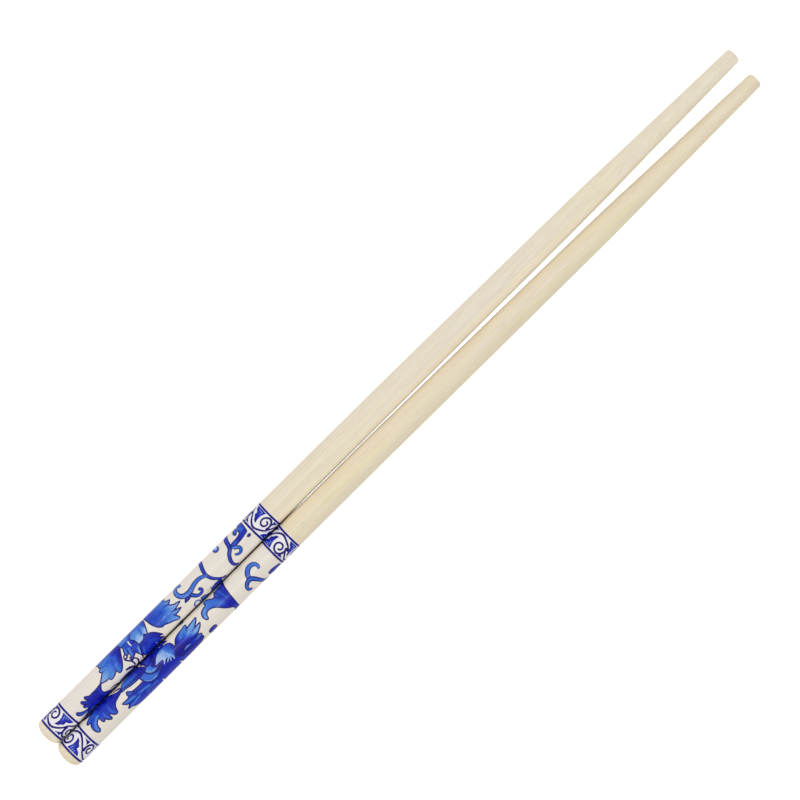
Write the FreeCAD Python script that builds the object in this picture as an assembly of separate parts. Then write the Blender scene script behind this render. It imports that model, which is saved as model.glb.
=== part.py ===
"""A pair of round tapered bamboo chopsticks lying side by side, printed on their grips.

Each stick is turned from one piece of bamboo. A thin printed film is shrunk round its grip,
and the blue fields of the print lie on that film. Millimetres, butts towards -X, tips towards
+X, +Z up. The origin is under the middle of the pair, on the surface that it lies on.
"""
import FreeCAD
import Part
import math
import os

# Turned stick: the lengths follow each other from the butt, each diameter is at a length's end
grip_length = 108.0
grip_diameter = 7.1
upper_taper_length = 40.0
waist_diameter = 6.75
middle_taper_length = 40.0
shoulder_diameter = 6.2
shoulder_length = 20.0
neck_diameter = 5.25
point_length = 32.0
tip_diameter = 3.95
butt_dome_height = 1.7
tip_dome_height = 0.75

# Printed film on the grip, and the blue print that lies on it: the border lines stand a little
# prouder than the fields, so the grips lie on them
film_start = 2.1
film_length = 78.2
film_thickness = 0.04
blue_thickness = 0.04
line_thickness = 0.05
butt_edge_margin = 0.2
clear_end_margin = 1.4
butt_band_width = 6.4
shaft_band_width = 6.2
line_width = 0.45

# How the two sticks lie together
touch_gap = 0.02
right_set_back = 0.43
left_drift = 0.45
right_drift = 1.25

# The print is drawn flat and stretched to the film: along it between the two bands, across each
# band from its middle to a line, and once round the grip
drawn_room = 64.0
drawn_band_reach = 2.75
drawn_girth = 22.8
right_print_turn = 7.3

# Running scroll: where its turns sit round the grip, in the order that each band runs, which is
# one way round at the butt and the other way round at the shaft, and the brush
butt_turn_arcs = (-2.4, 4.2, 10.6, 15.6)
shaft_turn_arcs = (23.5, 17.3, 12.6, 7.4)
turn_pitch = 6.6
curl_centre = 0.55
curl_radius = 1.35
curl_width = 0.42
wave_width = 0.5

stick_length = (grip_length + upper_taper_length + middle_taper_length
                + shoulder_length + point_length)
film_end = film_start + film_length
film_radius = grip_diameter / 2 + film_thickness
blue_radius = film_radius + blue_thickness
line_radius = film_radius + line_thickness
butt_band_start = film_start + butt_edge_margin
butt_band_end = butt_band_start + butt_band_width
shaft_band_end = film_end - clear_end_margin
shaft_band_start = shaft_band_end - shaft_band_width

# Flower and vine as drawn: (distance past the butt band, arc round the grip)
dark_outlines = [
    # feathered leaf nearest the butt
    [(1.1, 1.4), (2.5, 2.1), (4.5, 2.2), (3.6, 1.3), (5.0, 1.4), (4.1, 0.0), (5.8, 0.9),
     (5.5, -0.2), (6.7, 0.5), (10.5, 0.3), (9.7, 1.6), (9.7, 3.2), (10.9, 4.2), (13.5, 5.0),
     (10.6, 6.0), (9.5, 7.6), (8.6, 8.3), (7.8, 6.9), (7.2, 8.5), (6.2, 7.0), (5.4, 7.7),
     (5.1, 6.1), (3.8, 6.7), (3.0, 8.7), (2.0, 7.9), (2.5, 6.2), (3.5, 5.3), (1.8, 5.2),
     (3.3, 4.2), (5.9, 3.4), (2.5, 3.1), (1.2, 2.4)],
    # dark heart of the flower
    [(20.8, 3.3), (22.9, 3.0), (24.6, 0.4), (26.9, 0.2), (28.9, 1.3), (30.4, 2.9), (29.5, 3.9),
     (25.9, 4.2), (22.9, 5.0), (21.6, 5.2)],
    # leaf below the flower
    [(11.5, 7.8), (13.7, 7.7), (14.2, 6.5), (15.1, 7.4), (18.7, 7.4), (20.9, 9.5), (24.7, 9.9),
     (26.5, 8.6), (28.9, 9.8), (30.5, 9.1), (36.9, 9.5), (37.1, 11.0), (29.3, 11.8), (17.3, 11.6),
     (12.9, 10.8), (11.8, 9.8), (12.9, 9.3)],
    # flare where the upper vine meets the band
    [(61.3, -1.2), (61.6, -2.7), (60.4, -3.3), (60.7, -4.3), (63.6, -3.9), (63.6, -1.2)],
]
light_outlines = [
    # petal above the feathered leaf
    [(11.0, 0.3), (12.8, -1.3), (12.6, -2.1), (13.3, -3.1), (12.9, -4.6), (15.3, -5.4),
     (20.1, -4.4), (20.0, -2.8), (18.8, -0.6), (17.7, 1.1), (16.2, 1.9), (15.6, 0.8), (13.4, 1.5)],
    # petals round the stamens
    [(20.3, -2.5), (20.9, -4.6), (24.3, -5.2), (28.6, -4.8), (27.6, -0.4), (24.4, 0.1),
     (23.0, 1.9), (21.9, 0.7), (20.9, 0.9)],
    # broad serrated petal
    [(29.4, -4.8), (30.1, -1.0), (30.9, 0.9), (35.9, 2.6), (36.2, 1.2), (38.1, 0.9), (36.5, 0.2),
     (39.0, -0.5), (36.5, -2.3), (37.2, -3.0), (36.1, -4.4), (33.3, -5.4)],
    # band of the lower petal
    [(13.9, 5.1), (15.9, 4.2), (20.5, 3.4), (21.3, 5.5), (18.9, 5.9), (15.8, 5.8)],
    # fan of pale petals
    [(19.2, 6.2), (21.7, 6.2), (22.9, 5.2), (26.3, 4.4), (30.1, 4.5), (30.4, 6.4), (29.8, 8.4),
     (28.8, 9.3), (26.4, 8.2), (24.5, 9.3), (21.5, 9.1), (19.3, 7.6)],
    # serrated petal beside the fan
    [(30.7, 6.7), (32.3, 5.3), (36.2, 4.6), (36.4, 5.6), (39.3, 5.3), (38.0, 6.8), (39.5, 7.0),
     (37.7, 8.3), (37.6, 9.1), (30.3, 8.8)],
    # winged leaf on the vine
    [(41.2, 7.6), (40.9, 6.2), (41.7, 5.0), (43.3, 4.7), (43.5, 3.4), (46.7, 3.1), (50.0, 3.2),
     (49.5, 10.3), (47.9, 9.9), (45.7, 7.5), (43.8, 6.3), (42.3, 6.4)],
]

# Vine strokes: centre line points and the width of the brush
vine_strokes = [
    ([(41.4, -3.2), (40.2, -3.4), (39.7, -2.0), (40.8, -0.5), (43.3, -0.7), (45.3, -1.0),
      (47.9, -0.5)], 0.95),
    ([(41.9, 0.4), (42.8, 1.6), (44.6, 1.7), (45.0, 0.9), (44.0, 1.0)], 0.6),
    ([(48.9, -4.8), (48.5, -1.8), (48.7, 0.2), (49.6, 1.8), (51.0, 3.0)], 0.95),
    ([(57.7, -4.8), (57.5, -1.6), (56.2, -0.3), (55.0, 1.2), (54.9, 3.4)], 0.9),
    ([(58.3, -0.8), (59.9, -0.9), (61.1, -1.0)], 0.65),
    ([(57.5, 0.4), (58.7, 0.4), (58.4, 1.4), (57.3, 1.1)], 0.6),
    ([(58.9, 7.5), (59.4, 6.5), (58.4, 5.6), (56.9, 5.8), (56.0, 7.3)], 0.9),
    ([(54.1, 10.3), (53.6, 9.2), (54.7, 8.2), (56.2, 8.5), (57.5, 11.4)], 0.9),
]


def in_the_room(outline):
    """Drawn outline of the flower or vine as (distance from the butt, turn round the grip)."""
    stretch = (shaft_band_start - butt_band_end) / drawn_room
    return [(butt_band_end + x * stretch, 2 * math.pi * v / drawn_girth) for x, v in outline]


def in_a_band(outline, start, width, side):
    """Drawn outline of the scroll as (distance from the butt, turn round the grip).

    side is +1 where the curl hangs towards the tip and -1 towards the butt.
    """
    stretch = side * (width / 2 - line_width) / drawn_band_reach
    middle = start + width / 2
    return [(middle + x * stretch, 2 * math.pi * v / drawn_girth) for x, v in outline]


def scroll_turn(arc, stretch):
    """One turn of the running scroll as drawn: wave, curl and trefoil.

    stretch is below zero where the band runs the other way round.
    """
    def place(points):
        return [(x, arc + v * stretch) for x, v in points]

    wave = place([(-2.3, 0.2), (-1.5, 2.6), (1.2, 4.7), (2.3, 6.4)])
    curl = []
    for step, angle in enumerate((-40, 40, 120, 200, 280)):
        reach = curl_radius * (1 - step / 16)
        curl.append((curl_centre + reach * math.cos(math.radians(angle)),
                     reach * math.sin(math.radians(angle))))
    trefoil = place([(-1.2, 1.9), (0.6, 2.0), (2.3, 1.7), (2.3, 4.6), (0.7, 3.5)])
    return [brush_outline(wave, wave_width), brush_outline(place(curl), curl_width), trefoil]


def brush_outline(points, width):
    """Closed outline of a brush stroke: full width along its middle, half of it at its ends."""
    left, right = [], []
    last = len(points) - 1
    for i, (x, v) in enumerate(points):
        before = points[max(i - 1, 0)]
        after = points[min(i + 1, last)]
        run = math.hypot(after[0] - before[0], after[1] - before[1])
        half = width / 2 if 0 < i < last else width / 4
        aside = (-(after[1] - before[1]) / run * half, (after[0] - before[0]) / run * half)
        left.append((x + aside[0], v + aside[1]))
        right.append((x - aside[0], v - aside[1]))
    return left + right[::-1]


def on_cylinder(outline, radius):
    """Outline laid on a cylinder about +Z: its edges and the face that they bound."""
    surface = Part.Cylinder()
    surface.Radius = radius
    corners = [FreeCAD.Base.Vector2d(turn, distance) for distance, turn in outline]
    edges = []
    for start, end in zip(corners, corners[1:] + corners[:1]):
        edges.append(Part.Geom2d.Line2dSegment(start, end).toShape(surface))
    return edges, Part.Face(surface, Part.Wire(edges))


def field(outline):
    """One field of colour: a thin solid between the film's surface and its own."""
    low_edges, low_face = on_cylinder(outline, film_radius)
    high_edges, high_face = on_cylinder(outline, blue_radius)
    walls = [Part.makeRuledSurface(low, high) for low, high in zip(low_edges, high_edges)]
    shell = Part.makeShell([low_face, high_face] + walls)
    shell.sewShape()
    return outward(Part.makeSolid(shell))


def outward(solid):
    """The solid with its faces turned outward."""
    if solid.Volume < 0:
        solid.reverse()
    return solid


def ring(start, length, inner_radius, outer_radius):
    """Ring about +Z, from a distance along the stick."""
    up = FreeCAD.Vector(0, 0, 1)
    foot = FreeCAD.Vector(0, 0, start)
    outer = Part.makeCylinder(outer_radius, length, foot, up)
    return outer.cut(Part.makeCylinder(inner_radius, length, foot, up))


def dome(centre, radius, height):
    """Rounded end of the stick: half an ellipsoid on +Z, or on -Z where height is negative."""
    middle = FreeCAD.Vector(0, 0, 0)
    rim = FreeCAD.Vector(radius, 0, 0)
    pole = FreeCAD.Vector(0, 0, height)
    quarter = Part.Ellipse(rim, pole, middle).toShape(0, math.pi / 2)
    outline = Part.Wire(Part.__sortEdges__([
        quarter, Part.makeLine(pole, middle), Part.makeLine(middle, rim),
    ]))
    solid = outward(Part.Face(outline).revolve(middle, FreeCAD.Vector(0, 0, 1), 360))
    solid.translate(centre)
    return solid


def make_stick(drift):
    """Bamboo stick about +Z: domed butt, round grip, and a shaft that drifts off its line."""
    radius = grip_diameter / 2
    foot = FreeCAD.Vector(0, 0, butt_dome_height)
    grip = Part.makeCylinder(radius, grip_length - butt_dome_height, foot)
    butt = dome(foot, radius, -butt_dome_height)

    distance = grip_length
    stations = [(distance, grip_diameter)]
    for length, diameter in (
        (upper_taper_length, waist_diameter),
        (middle_taper_length, shoulder_diameter),
        (shoulder_length, neck_diameter),
        (point_length - tip_dome_height, tip_diameter),
    ):
        distance += length
        stations.append((distance, diameter))
    circles = []
    for along, diameter in stations:
        aside = drift * (along - grip_length) / (distance - grip_length)
        circle = Part.makeCircle(diameter / 2, FreeCAD.Vector(0, aside, along))
        circles.append(Part.Wire([circle]))
    shaft = Part.makeLoft(circles, True, True)
    tip = dome(FreeCAD.Vector(0, drift, distance), tip_diameter / 2, tip_dome_height)
    return butt.fuse([grip, shaft, tip])


def make_film():
    """Printed film round the grip."""
    return ring(film_start, film_length, grip_diameter / 2, film_radius)


def in_both_bands():
    """Start, width, arcs of the turns and way round of the band at each end of the print."""
    return (
        (butt_band_start, butt_band_width, butt_turn_arcs, 1),
        (shaft_band_start, shaft_band_width, shaft_turn_arcs, -1),
    )


def make_border_lines():
    """Four lines round the grip, two beside each band of running scroll."""
    lines = []
    for start, width, _, _ in in_both_bands():
        for line_start in (start, start + width - line_width):
            lines.append(ring(line_start, line_width, film_radius, line_radius))
    return Part.makeCompound(lines)


def make_dark_blue():
    """Running scrolls, dark leaves and vine."""
    outlines = [in_the_room(outline) for outline in dark_outlines]
    outlines += [in_the_room(brush_outline(points, width)) for points, width in vine_strokes]
    for start, width, arcs, way in in_both_bands():
        following = arcs[1:] + (arcs[0] + way * drawn_girth,)
        side = 1
        for arc, following_arc in zip(arcs, following):
            for outline in scroll_turn(arc, (following_arc - arc) / turn_pitch):
                outlines.append(in_a_band(outline, start, width, side))
            side = -side
    return Part.makeCompound([field(outline) for outline in outlines])


def make_light_blue():
    """Pale petals and leaves."""
    return Part.makeCompound([field(in_the_room(outline)) for outline in light_outlines])


def lay_down(shape, side, set_back, print_turn):
    """Copy of a shape made about +Z, laid along +X as the left (+1) or right (-1) stick."""
    laid = shape.copy()
    spin = FreeCAD.Rotation(FreeCAD.Vector(0, 0, 1), -360 * print_turn / drawn_girth)
    lie = FreeCAD.Rotation(FreeCAD.Vector(1, 0, 1), 180)
    place = FreeCAD.Vector(
        -stick_length / 2 - set_back + right_set_back / 2,
        side * (line_radius + touch_gap / 2),
        line_radius,
    )
    laid.Placement = FreeCAD.Placement(place, lie.multiply(spin))
    return laid


def main():
    """Builds both sticks and writes one file for each node."""
    os.makedirs("parts", exist_ok=True)
    film = make_film()
    border_lines = make_border_lines()
    dark_blue = make_dark_blue()
    light_blue = make_light_blue()
    for name, side, set_back, turn, drift in (
        ("left", 1, 0.0, 0.0, left_drift),
        ("right", -1, right_set_back, right_print_turn, right_drift),
    ):
        nodes = {
            "chopstick_" + name: lay_down(make_stick(drift), side, set_back, 0.0),
            "printed_film_" + name: lay_down(film, side, set_back, turn),
            "border_lines_" + name: lay_down(border_lines, side, set_back, turn),
            "dark_blue_print_" + name: lay_down(dark_blue, side, set_back, turn),
            "light_blue_print_" + name: lay_down(light_blue, side, set_back, turn),
        }
        for node, shape in nodes.items():
            shape.exportStep("parts/" + node + ".step")
            print(node, len(shape.Solids), round(shape.Volume, 3), shape.isValid())


main()
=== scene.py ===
"""Dresses a pair of printed bamboo chopsticks that lie side by side.

Each stick has five pieces: the turned bamboo, the printed film round its grip, the border lines,
and the dark and the pale blue print on the film. The print is drawn flat, in millimetres, as
(distance from the butt, arc round the grip), and then wrapped round the grip in metres.
"""

import logging
import math
from dataclasses import dataclass, field
from enum import Enum

import bpy
import numpy as np
from mathutils import Matrix, Vector
from mathutils.geometry import delaunay_2d_cdt


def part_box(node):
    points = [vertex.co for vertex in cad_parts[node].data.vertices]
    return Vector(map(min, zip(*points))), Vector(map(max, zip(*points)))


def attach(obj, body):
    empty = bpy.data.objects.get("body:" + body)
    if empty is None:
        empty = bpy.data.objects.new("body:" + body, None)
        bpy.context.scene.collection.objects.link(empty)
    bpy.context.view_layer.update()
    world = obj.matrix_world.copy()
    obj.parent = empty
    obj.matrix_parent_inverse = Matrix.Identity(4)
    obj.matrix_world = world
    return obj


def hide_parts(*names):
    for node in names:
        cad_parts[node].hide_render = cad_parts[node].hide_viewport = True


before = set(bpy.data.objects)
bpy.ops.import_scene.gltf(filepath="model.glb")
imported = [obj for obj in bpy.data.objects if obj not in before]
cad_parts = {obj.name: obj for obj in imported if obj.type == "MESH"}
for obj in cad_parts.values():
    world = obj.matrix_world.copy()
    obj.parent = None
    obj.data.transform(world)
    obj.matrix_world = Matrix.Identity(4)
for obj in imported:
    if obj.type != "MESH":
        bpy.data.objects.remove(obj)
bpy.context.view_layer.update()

Point = tuple[float, float]
Arc = tuple[Point, ...]
Widths = tuple[float, float, float]
Wash = tuple[Point, float, Point, float]
Colour = tuple[float, float, float, float]
Sockets = tuple[tuple[str, str], ...]

MM = 0.001
BLACK: Colour = (0.0, 0.0, 0.0, 1.0)
WHITE: Colour = (1.0, 1.0, 1.0, 1.0)
# In millimetres: the arc once round the printed grip, the steps between the points of an outline
# and between the cross sections of a stroke, and one turn of the scroll as it is drawn.
GIRTH = 22.8
OUTLINE_STEP = 0.3
STROKE_STEP = 0.22
SCROLL_TURN = 6.6
# The clear gloss over the film and the print.
COAT_IOR = 1.32
log = logging.getLogger("chopsticks")


class Side(Enum):
    """Which of the two sticks, with its name in the frame."""

    LEFT = "left"
    RIGHT = "right"


# The arc of the drawing that shows on top of each grip, in millimetres, and how far each tip
# stands off its grip's line, towards -Y, in metres.
PRINT_TURN = {Side.LEFT: 0.0, Side.RIGHT: 7.3}
DRIFT = {Side.LEFT: 0.00044, Side.RIGHT: 0.00122}


class Ink(Enum):
    """Which part of the print a mark belongs to."""

    DARK = "dark_blue"
    PALE = "light_blue"
    BARE = "bare"


def srgb(red: int, green: int, blue: int) -> Colour:
    """Linear colour of an eight-bit display colour.

    Args:
        red: Red from 0 to 255.
        green: Green from 0 to 255.
        blue: Blue from 0 to 255.

    Returns:
        Linear red, green and blue with an alpha of one.
    """
    linear = []
    for level in (red / 255, green / 255, blue / 255):
        linear.append(level / 12.92 if level <= 0.04045 else ((level + 0.055) / 1.055) ** 2.4)
    return (linear[0], linear[1], linear[2], 1.0)


@dataclass(frozen=True)
class Lie:
    """Where one stick lies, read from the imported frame, in metres."""

    side: Side
    butt_x: float
    tip_x: float
    axis_y: float
    axis_z: float
    film_start_x: float
    film_end_x: float
    film_radius: float
    line_radius: float
    print_turn: float
    drift: float

    @classmethod
    def read(cls, side: Side) -> "Lie":
        """Reads one stick's place from its nodes.

        Args:
            side: The stick.

        Returns:
            The stick's place.
        """
        stick_low, stick_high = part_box("chopstick_" + side.value)
        film_low, film_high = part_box("printed_film_" + side.value)
        line_low, line_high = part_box("border_lines_" + side.value)
        return cls(
            side=side,
            butt_x=stick_low.x,
            tip_x=stick_high.x,
            axis_y=(line_low.y + line_high.y) / 2,
            axis_z=(line_low.z + line_high.z) / 2,
            film_start_x=film_low.x,
            film_end_x=film_high.x,
            film_radius=(film_high.z - film_low.z) / 2,
            line_radius=(line_high.z - line_low.z) / 2,
            print_turn=PRINT_TURN[side],
            drift=DRIFT[side],
        )

    def wrap(self, flat: np.ndarray, radius: float) -> np.ndarray:
        """Drawn points laid round the grip.

        Args:
            flat: Rows of distance from the butt and arc round the grip, in millimetres.
            radius: Radius that they are laid on, in metres.

        Returns:
            Rows of x, y and z in metres.
        """
        turn = (flat[:, 1] - self.print_turn) * 2 * math.pi / GIRTH
        return np.column_stack((
            self.butt_x + flat[:, 0] * MM,
            self.axis_y - radius * np.sin(turn),
            self.axis_z + radius * np.cos(turn),
        ))


def smooth_line(points: Arc, step: float) -> list[Point]:
    """Points along a smooth curve through drawn points.

    Args:
        points: Drawn points, at least two.
        step: Distance between the new points, in millimetres.

    Returns:
        The curve's points, its first and last drawn points included.
    """
    known = [np.array(p, float) for p in points]
    before = 2 * known[0] - known[1]
    after = 2 * known[-1] - known[-2]
    known = [before, *known, after]
    line: list[Point] = []
    for a, b, c, d in zip(known, known[1:], known[2:], known[3:]):
        count = max(1, round(float(np.linalg.norm(c - b)) / step))
        for k in range(count):
            t = k / count
            place = 0.5 * (2 * b + (c - a) * t + (2 * a - 5 * b + 4 * c - d) * t * t
                           + (3 * b - a - 3 * c + d) * t ** 3)
            line.append((float(place[0]), float(place[1])))
    line.append((float(points[-1][0]), float(points[-1][1])))
    return line


def gap_to_line(places: np.ndarray, line: list[Point]) -> tuple[np.ndarray, np.ndarray]:
    """How far places are from a line, and how far along it they are nearest.

    Args:
        places: Rows of drawn places.
        line: The line's points.

    Returns:
        The distances, and the shares of the line's length from 0 to 1.
    """
    ends = np.array(line, float)
    best = np.full(len(places), 1e9)
    share = np.zeros(len(places))
    runs = np.linalg.norm(np.diff(ends, axis=0), axis=1)
    whole = max(float(runs.sum()), 1e-9)
    gone = 0.0
    for start, end, run in zip(ends, ends[1:], runs):
        way = (end - start) / max(run, 1e-9)
        along = np.clip((places - start) @ way, 0, run)
        gap = np.linalg.norm(places - start - along[:, None] * way, axis=1)
        nearer = gap < best
        best[nearer] = gap[nearer]
        share[nearer] = (gone + along[nearer]) / whole
        gone += run
    return best, share


def covers(outline: Arc, places: np.ndarray) -> np.ndarray:
    """Which places a closed outline goes round.

    Args:
        outline: The outline's points.
        places: Rows of drawn places.

    Returns:
        True for each place inside.
    """
    ring = np.array(outline)
    inside = np.zeros(len(places), bool)
    near = np.flatnonzero(np.all((places >= ring.min(axis=0)) & (places <= ring.max(axis=0)),
                                 axis=1))
    found = places[near]
    turns = np.zeros(len(near), int)
    for start, end in zip(ring, np.roll(ring, -1, axis=0)):
        aside = ((end[0] - start[0]) * (found[:, 1] - start[1])
                 - (found[:, 0] - start[0]) * (end[1] - start[1]))
        turns += (start[1] <= found[:, 1]) & (end[1] > found[:, 1]) & (aside > 0)
        turns -= (start[1] > found[:, 1]) & (end[1] <= found[:, 1]) & (aside < 0)
    inside[near] = turns != 0
    return inside


@dataclass(frozen=True)
class Streak:
    """A soft lighter or darker touch of the brush inside a petal, or a small painted highlight."""

    line: Arc
    tone: float
    reach: float

    def blend(self, places: np.ndarray, tones: np.ndarray) -> np.ndarray:
        """Tones with this touch laid over them.

        Args:
            places: Rows of drawn places.
            tones: The tones there so far.

        Returns:
            The new tones.
        """
        gap, _ = gap_to_line(places, list(self.line))
        weight = np.exp(-((gap / self.reach) ** 2))
        return tones + (self.tone - tones) * weight


@dataclass(frozen=True)
class Mark:
    """One flat mark of the print, closed by its outline, and how its tone runs."""

    ink: Ink
    outline: tuple[Point, ...] = ()

    def tones(self, places: np.ndarray) -> np.ndarray:
        """Tones of drawn places, from 0, the darkest blue, to 1, the palest."""
        return np.zeros(len(places))


@dataclass(frozen=True)
class Petal(Mark):
    """A closed field of wash that runs from its root to its tip, with soft streaks."""

    root: Point = (0.0, 0.0)
    tip: Point = (1.0, 0.0)
    root_tone: float = 0.1
    tip_tone: float = 0.5
    streaks: tuple[Streak, ...] = ()

    @classmethod
    def draw(cls, ink: Ink, arcs: tuple[Arc, ...], wash: Wash,
             streaks: tuple[Streak, ...] = ()) -> "Petal":
        """Makes a petal from the arcs of its outline.

        Args:
            ink: The part of the print that it belongs to.
            arcs: Smooth stretches of the outline; each ends where the next one starts.
            wash: The root, its tone, the tip and its tone.
            streaks: Soft touches over the wash.

        Returns:
            The petal.
        """
        outline: list[Point] = []
        for arc, following in zip(arcs, arcs[1:] + arcs[:1]):
            outline.extend(smooth_line(arc + (following[0],), OUTLINE_STEP)[:-1])
        root, root_tone, tip, tip_tone = wash
        return cls(ink=ink, outline=tuple(outline), root=root, tip=tip, root_tone=root_tone,
                   tip_tone=tip_tone, streaks=streaks)

    def tones(self, places: np.ndarray) -> np.ndarray:
        """Tones of drawn places: the wash, with each streak laid over it.

        Args:
            places: Rows of drawn places.

        Returns:
            Tones from 0, the darkest blue, to 1, the palest.
        """
        way = np.array(self.tip, float) - np.array(self.root, float)
        share = np.clip((places - np.array(self.root)) @ way / (way @ way), 0, 1)
        share = share * share * (3 - 2 * share)
        tones = self.root_tone + (self.tip_tone - self.root_tone) * share
        for streak in self.streaks:
            tones = streak.blend(places, tones)
        return np.clip(tones, 0, 1)


@dataclass(frozen=True)
class Stroke(Mark):
    """A brush stroke with round ends along a line."""

    line: tuple[Point, ...] = ()
    start_tone: float = 0.0
    end_tone: float = 0.0

    @classmethod
    def draw(cls, ink: Ink, points: Arc, widths: Widths,
             tones: tuple[float, float] = (0.0, 0.0),
             step: float = STROKE_STEP) -> "Stroke":
        """Makes a stroke from its centre line.

        Args:
            ink: The part of the print that it belongs to.
            points: Drawn points of the centre line.
            widths: Width at the start, in the middle and at the end.
            tones: Tone at the start and at the end.
            step: Distance between cross sections, in millimetres.

        Returns:
            The stroke.
        """
        line = smooth_line(points, step)
        centre = np.array(line)
        runs = np.concatenate(([0.0], np.cumsum(np.linalg.norm(np.diff(centre, axis=0), axis=1))))
        whole = runs[-1]
        share = runs / whole
        half = np.interp(share, (0, 0.5, 1), widths) / 2
        blunt, least_reach = 0.04, 0.05
        for reach, to_end in ((widths[0] / 2, runs), (widths[2] / 2, whole - runs)):
            inside = np.clip(1 - (to_end + blunt) / max(reach, least_reach), 0, 1)
            half = half * np.sqrt(1 - inside ** 2)
        way = np.gradient(centre, axis=0)
        way /= np.linalg.norm(way, axis=1)[:, None]
        aside = np.column_stack((-way[:, 1], way[:, 0])) * half[:, None]
        outline = [*(centre + aside), *(centre - aside)[::-1]]
        return cls(ink=ink, outline=tuple((float(x), float(v)) for x, v in outline),
                   line=tuple(line), start_tone=tones[0], end_tone=tones[1])

    def tones(self, places: np.ndarray) -> np.ndarray:
        """Tones of drawn places, which run evenly from the stroke's start to its end.

        Args:
            places: Rows of drawn places.

        Returns:
            Tones from 0, the darkest blue, to 1, the palest.
        """
        if self.start_tone == self.end_tone:
            return np.full(len(places), self.start_tone)
        _, share = gap_to_line(places, list(self.line))
        return self.start_tone + (self.end_tone - self.start_tone) * share


@dataclass
class Drawing:
    """The flat print, painted from the back to the front."""

    edge_width: float = 0.33
    marks: list[Mark] = field(default_factory=list)

    def petal(self, ink: Ink, arcs: tuple[Arc, ...], wash: Wash,
              streaks: tuple[Streak, ...] = ()) -> None:
        """Paints a petal and the thin line round it.

        Args:
            ink: The part of the print that it belongs to.
            arcs: Smooth stretches of the outline; each ends where the next one starts.
            wash: The root, its tone, the tip and its tone.
            streaks: Soft touches over the wash.
        """
        self.marks.append(Petal.draw(ink, arcs, wash, streaks))
        width = (self.edge_width,) * 3
        for arc, following in zip(arcs, arcs[1:] + arcs[:1]):
            self.marks.append(Stroke.draw(ink, arc + (following[0],), width, step=OUTLINE_STEP))

    def stroke(self, ink: Ink, points: Arc, widths: Widths,
               core: float | None = None, core_share: float = 0.5, tone: float = 0.0) -> None:
        """Paints a stroke, with a lighter core where core gives its tone.

        Args:
            ink: The part of the print that it belongs to.
            points: Drawn points of the centre line.
            widths: Width at the start, in the middle and at the end.
            core: Tone of the core at its start, or None for a plain stroke.
            core_share: Share of the stroke's width that the core takes up.
            tone: Tone of the stroke.
        """
        self.marks.append(Stroke.draw(ink, points, widths, (tone, tone)))
        if core is not None:
            thin = (widths[0] * core_share, widths[1] * core_share, widths[2] * core_share)
            self.marks.append(Stroke.draw(ink, points, thin, (core, core * 0.8)))

    def scrolls(self, middle: float, arcs: tuple[float, ...], way: int) -> None:
        """Paints one band of running scroll.

        Args:
            middle: Distance of the band's middle from the butt.
            arcs: Where the turns sit round the grip, in the order that the band runs.
            way: 1 or -1, the way round the grip that the band runs.
        """
        side = 1
        for arc, following in zip(arcs, arcs[1:] + (arcs[0] + way * GIRTH,)):
            stretch = (following - arc) / SCROLL_TURN

            def put(points: Arc) -> Arc:
                """The turn's own points, laid in the band."""
                return tuple((middle + side * x, arc + v * stretch) for x, v in points)

            self.stroke(Ink.DARK, put(((0.1, -2.6), (-0.85, -1.8), (-1.62, -0.4), (-2.05, 0.55),
                                       (-2.18, 1.25), (-2.0, 1.97), (-1.56, 2.68), (-0.96, 3.4),
                                       (-0.3, 4.05), (0.35, 4.7))), (0.4, 0.58, 0.4))
            self.stroke(Ink.DARK, put(((-0.55, -1.7), (0.3, -1.95), (1.3, -1.75), (2.0, -1.15),
                                       (2.2, -0.45), (2.0, 0.2), (1.5, 0.75), (0.85, 1.0),
                                       (0.2, 0.9), (-0.25, 0.5), (-0.4, -0.05), (-0.2, -0.6),
                                       (0.3, -0.9), (0.85, -0.85), (1.15, -0.5), (1.1, -0.1))),
                        (0.65, 0.52, 0.46))
            self.marks.append(Petal.draw(Ink.DARK, (
                put(((-1.1, 1.65), (-0.4, 1.9), (0.4, 2.0), (1.2, 1.9), (1.9, 1.6))),
                put(((2.4, 1.35), (2.42, 2.6), (2.42, 4.0))),
                put(((2.42, 5.15), (1.95, 4.85), (1.5, 4.4), (1.25, 3.85))),
                put(((1.1, 3.5), (0.6, 3.65), (0.15, 3.5), (-0.05, 3.1))),
                put(((-0.3, 2.9), (-0.8, 2.5))),
            ), (put(((2.3, 2.6),))[0], 0.14, put(((0.0, 2.6),))[0], 0.06), (
                Streak(put(((1.3, 2.2), (0.4, 2.4))), 0.4, 0.22),
                Streak(put(((2.25, 3.5), (2.0, 4.1))), 0.36, 0.16))))
            for vein in (((2.1, 2.25), (1.4, 2.45), (0.9, 2.7)), ((2.15, 2.75), (1.55, 3.05)),
                         ((2.15, 3.25), (1.8, 3.65))):
                self.marks.append(Stroke.draw(Ink.DARK, put(vein), (0.12, 0.2, 0.1),
                                              (0.86, 0.6)))
            self.marks.append(Petal.draw(Ink.DARK, (
                put(((-2.4, 3.0), (-1.95, 3.75), (-1.6, 4.3))),
                put(((-1.1, 4.65), (-1.7, 4.8))),
                put(((-2.5, 4.8), (-2.3, 3.9))),
            ), (put(((-2.4, 4.0),))[0], 0.05, put(((-1.5, 4.5),))[0], 0.05)))
            side = -side


def draw_print(side: Side) -> Drawing:
    """The whole print: the bands of running scroll, and the flower and vine between them.

    Args:
        side: The stick; the two prints differ a little where both show in the seam.

    Returns:
        The drawing.
    """
    sheet = Drawing()
    butt_band, shaft_band = 5.5, 75.8
    sheet.scrolls(butt_band, (-2.4, 4.2, 10.6, 15.6), 1)
    sheet.scrolls(shaft_band, (23.5, 17.3, 12.6, 7.4), -1)
    draw_vine(sheet, side)
    draw_leaves(sheet)
    draw_flower(sheet)
    if side is Side.RIGHT:
        fill_seam_side(sheet)
    return sheet


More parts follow.
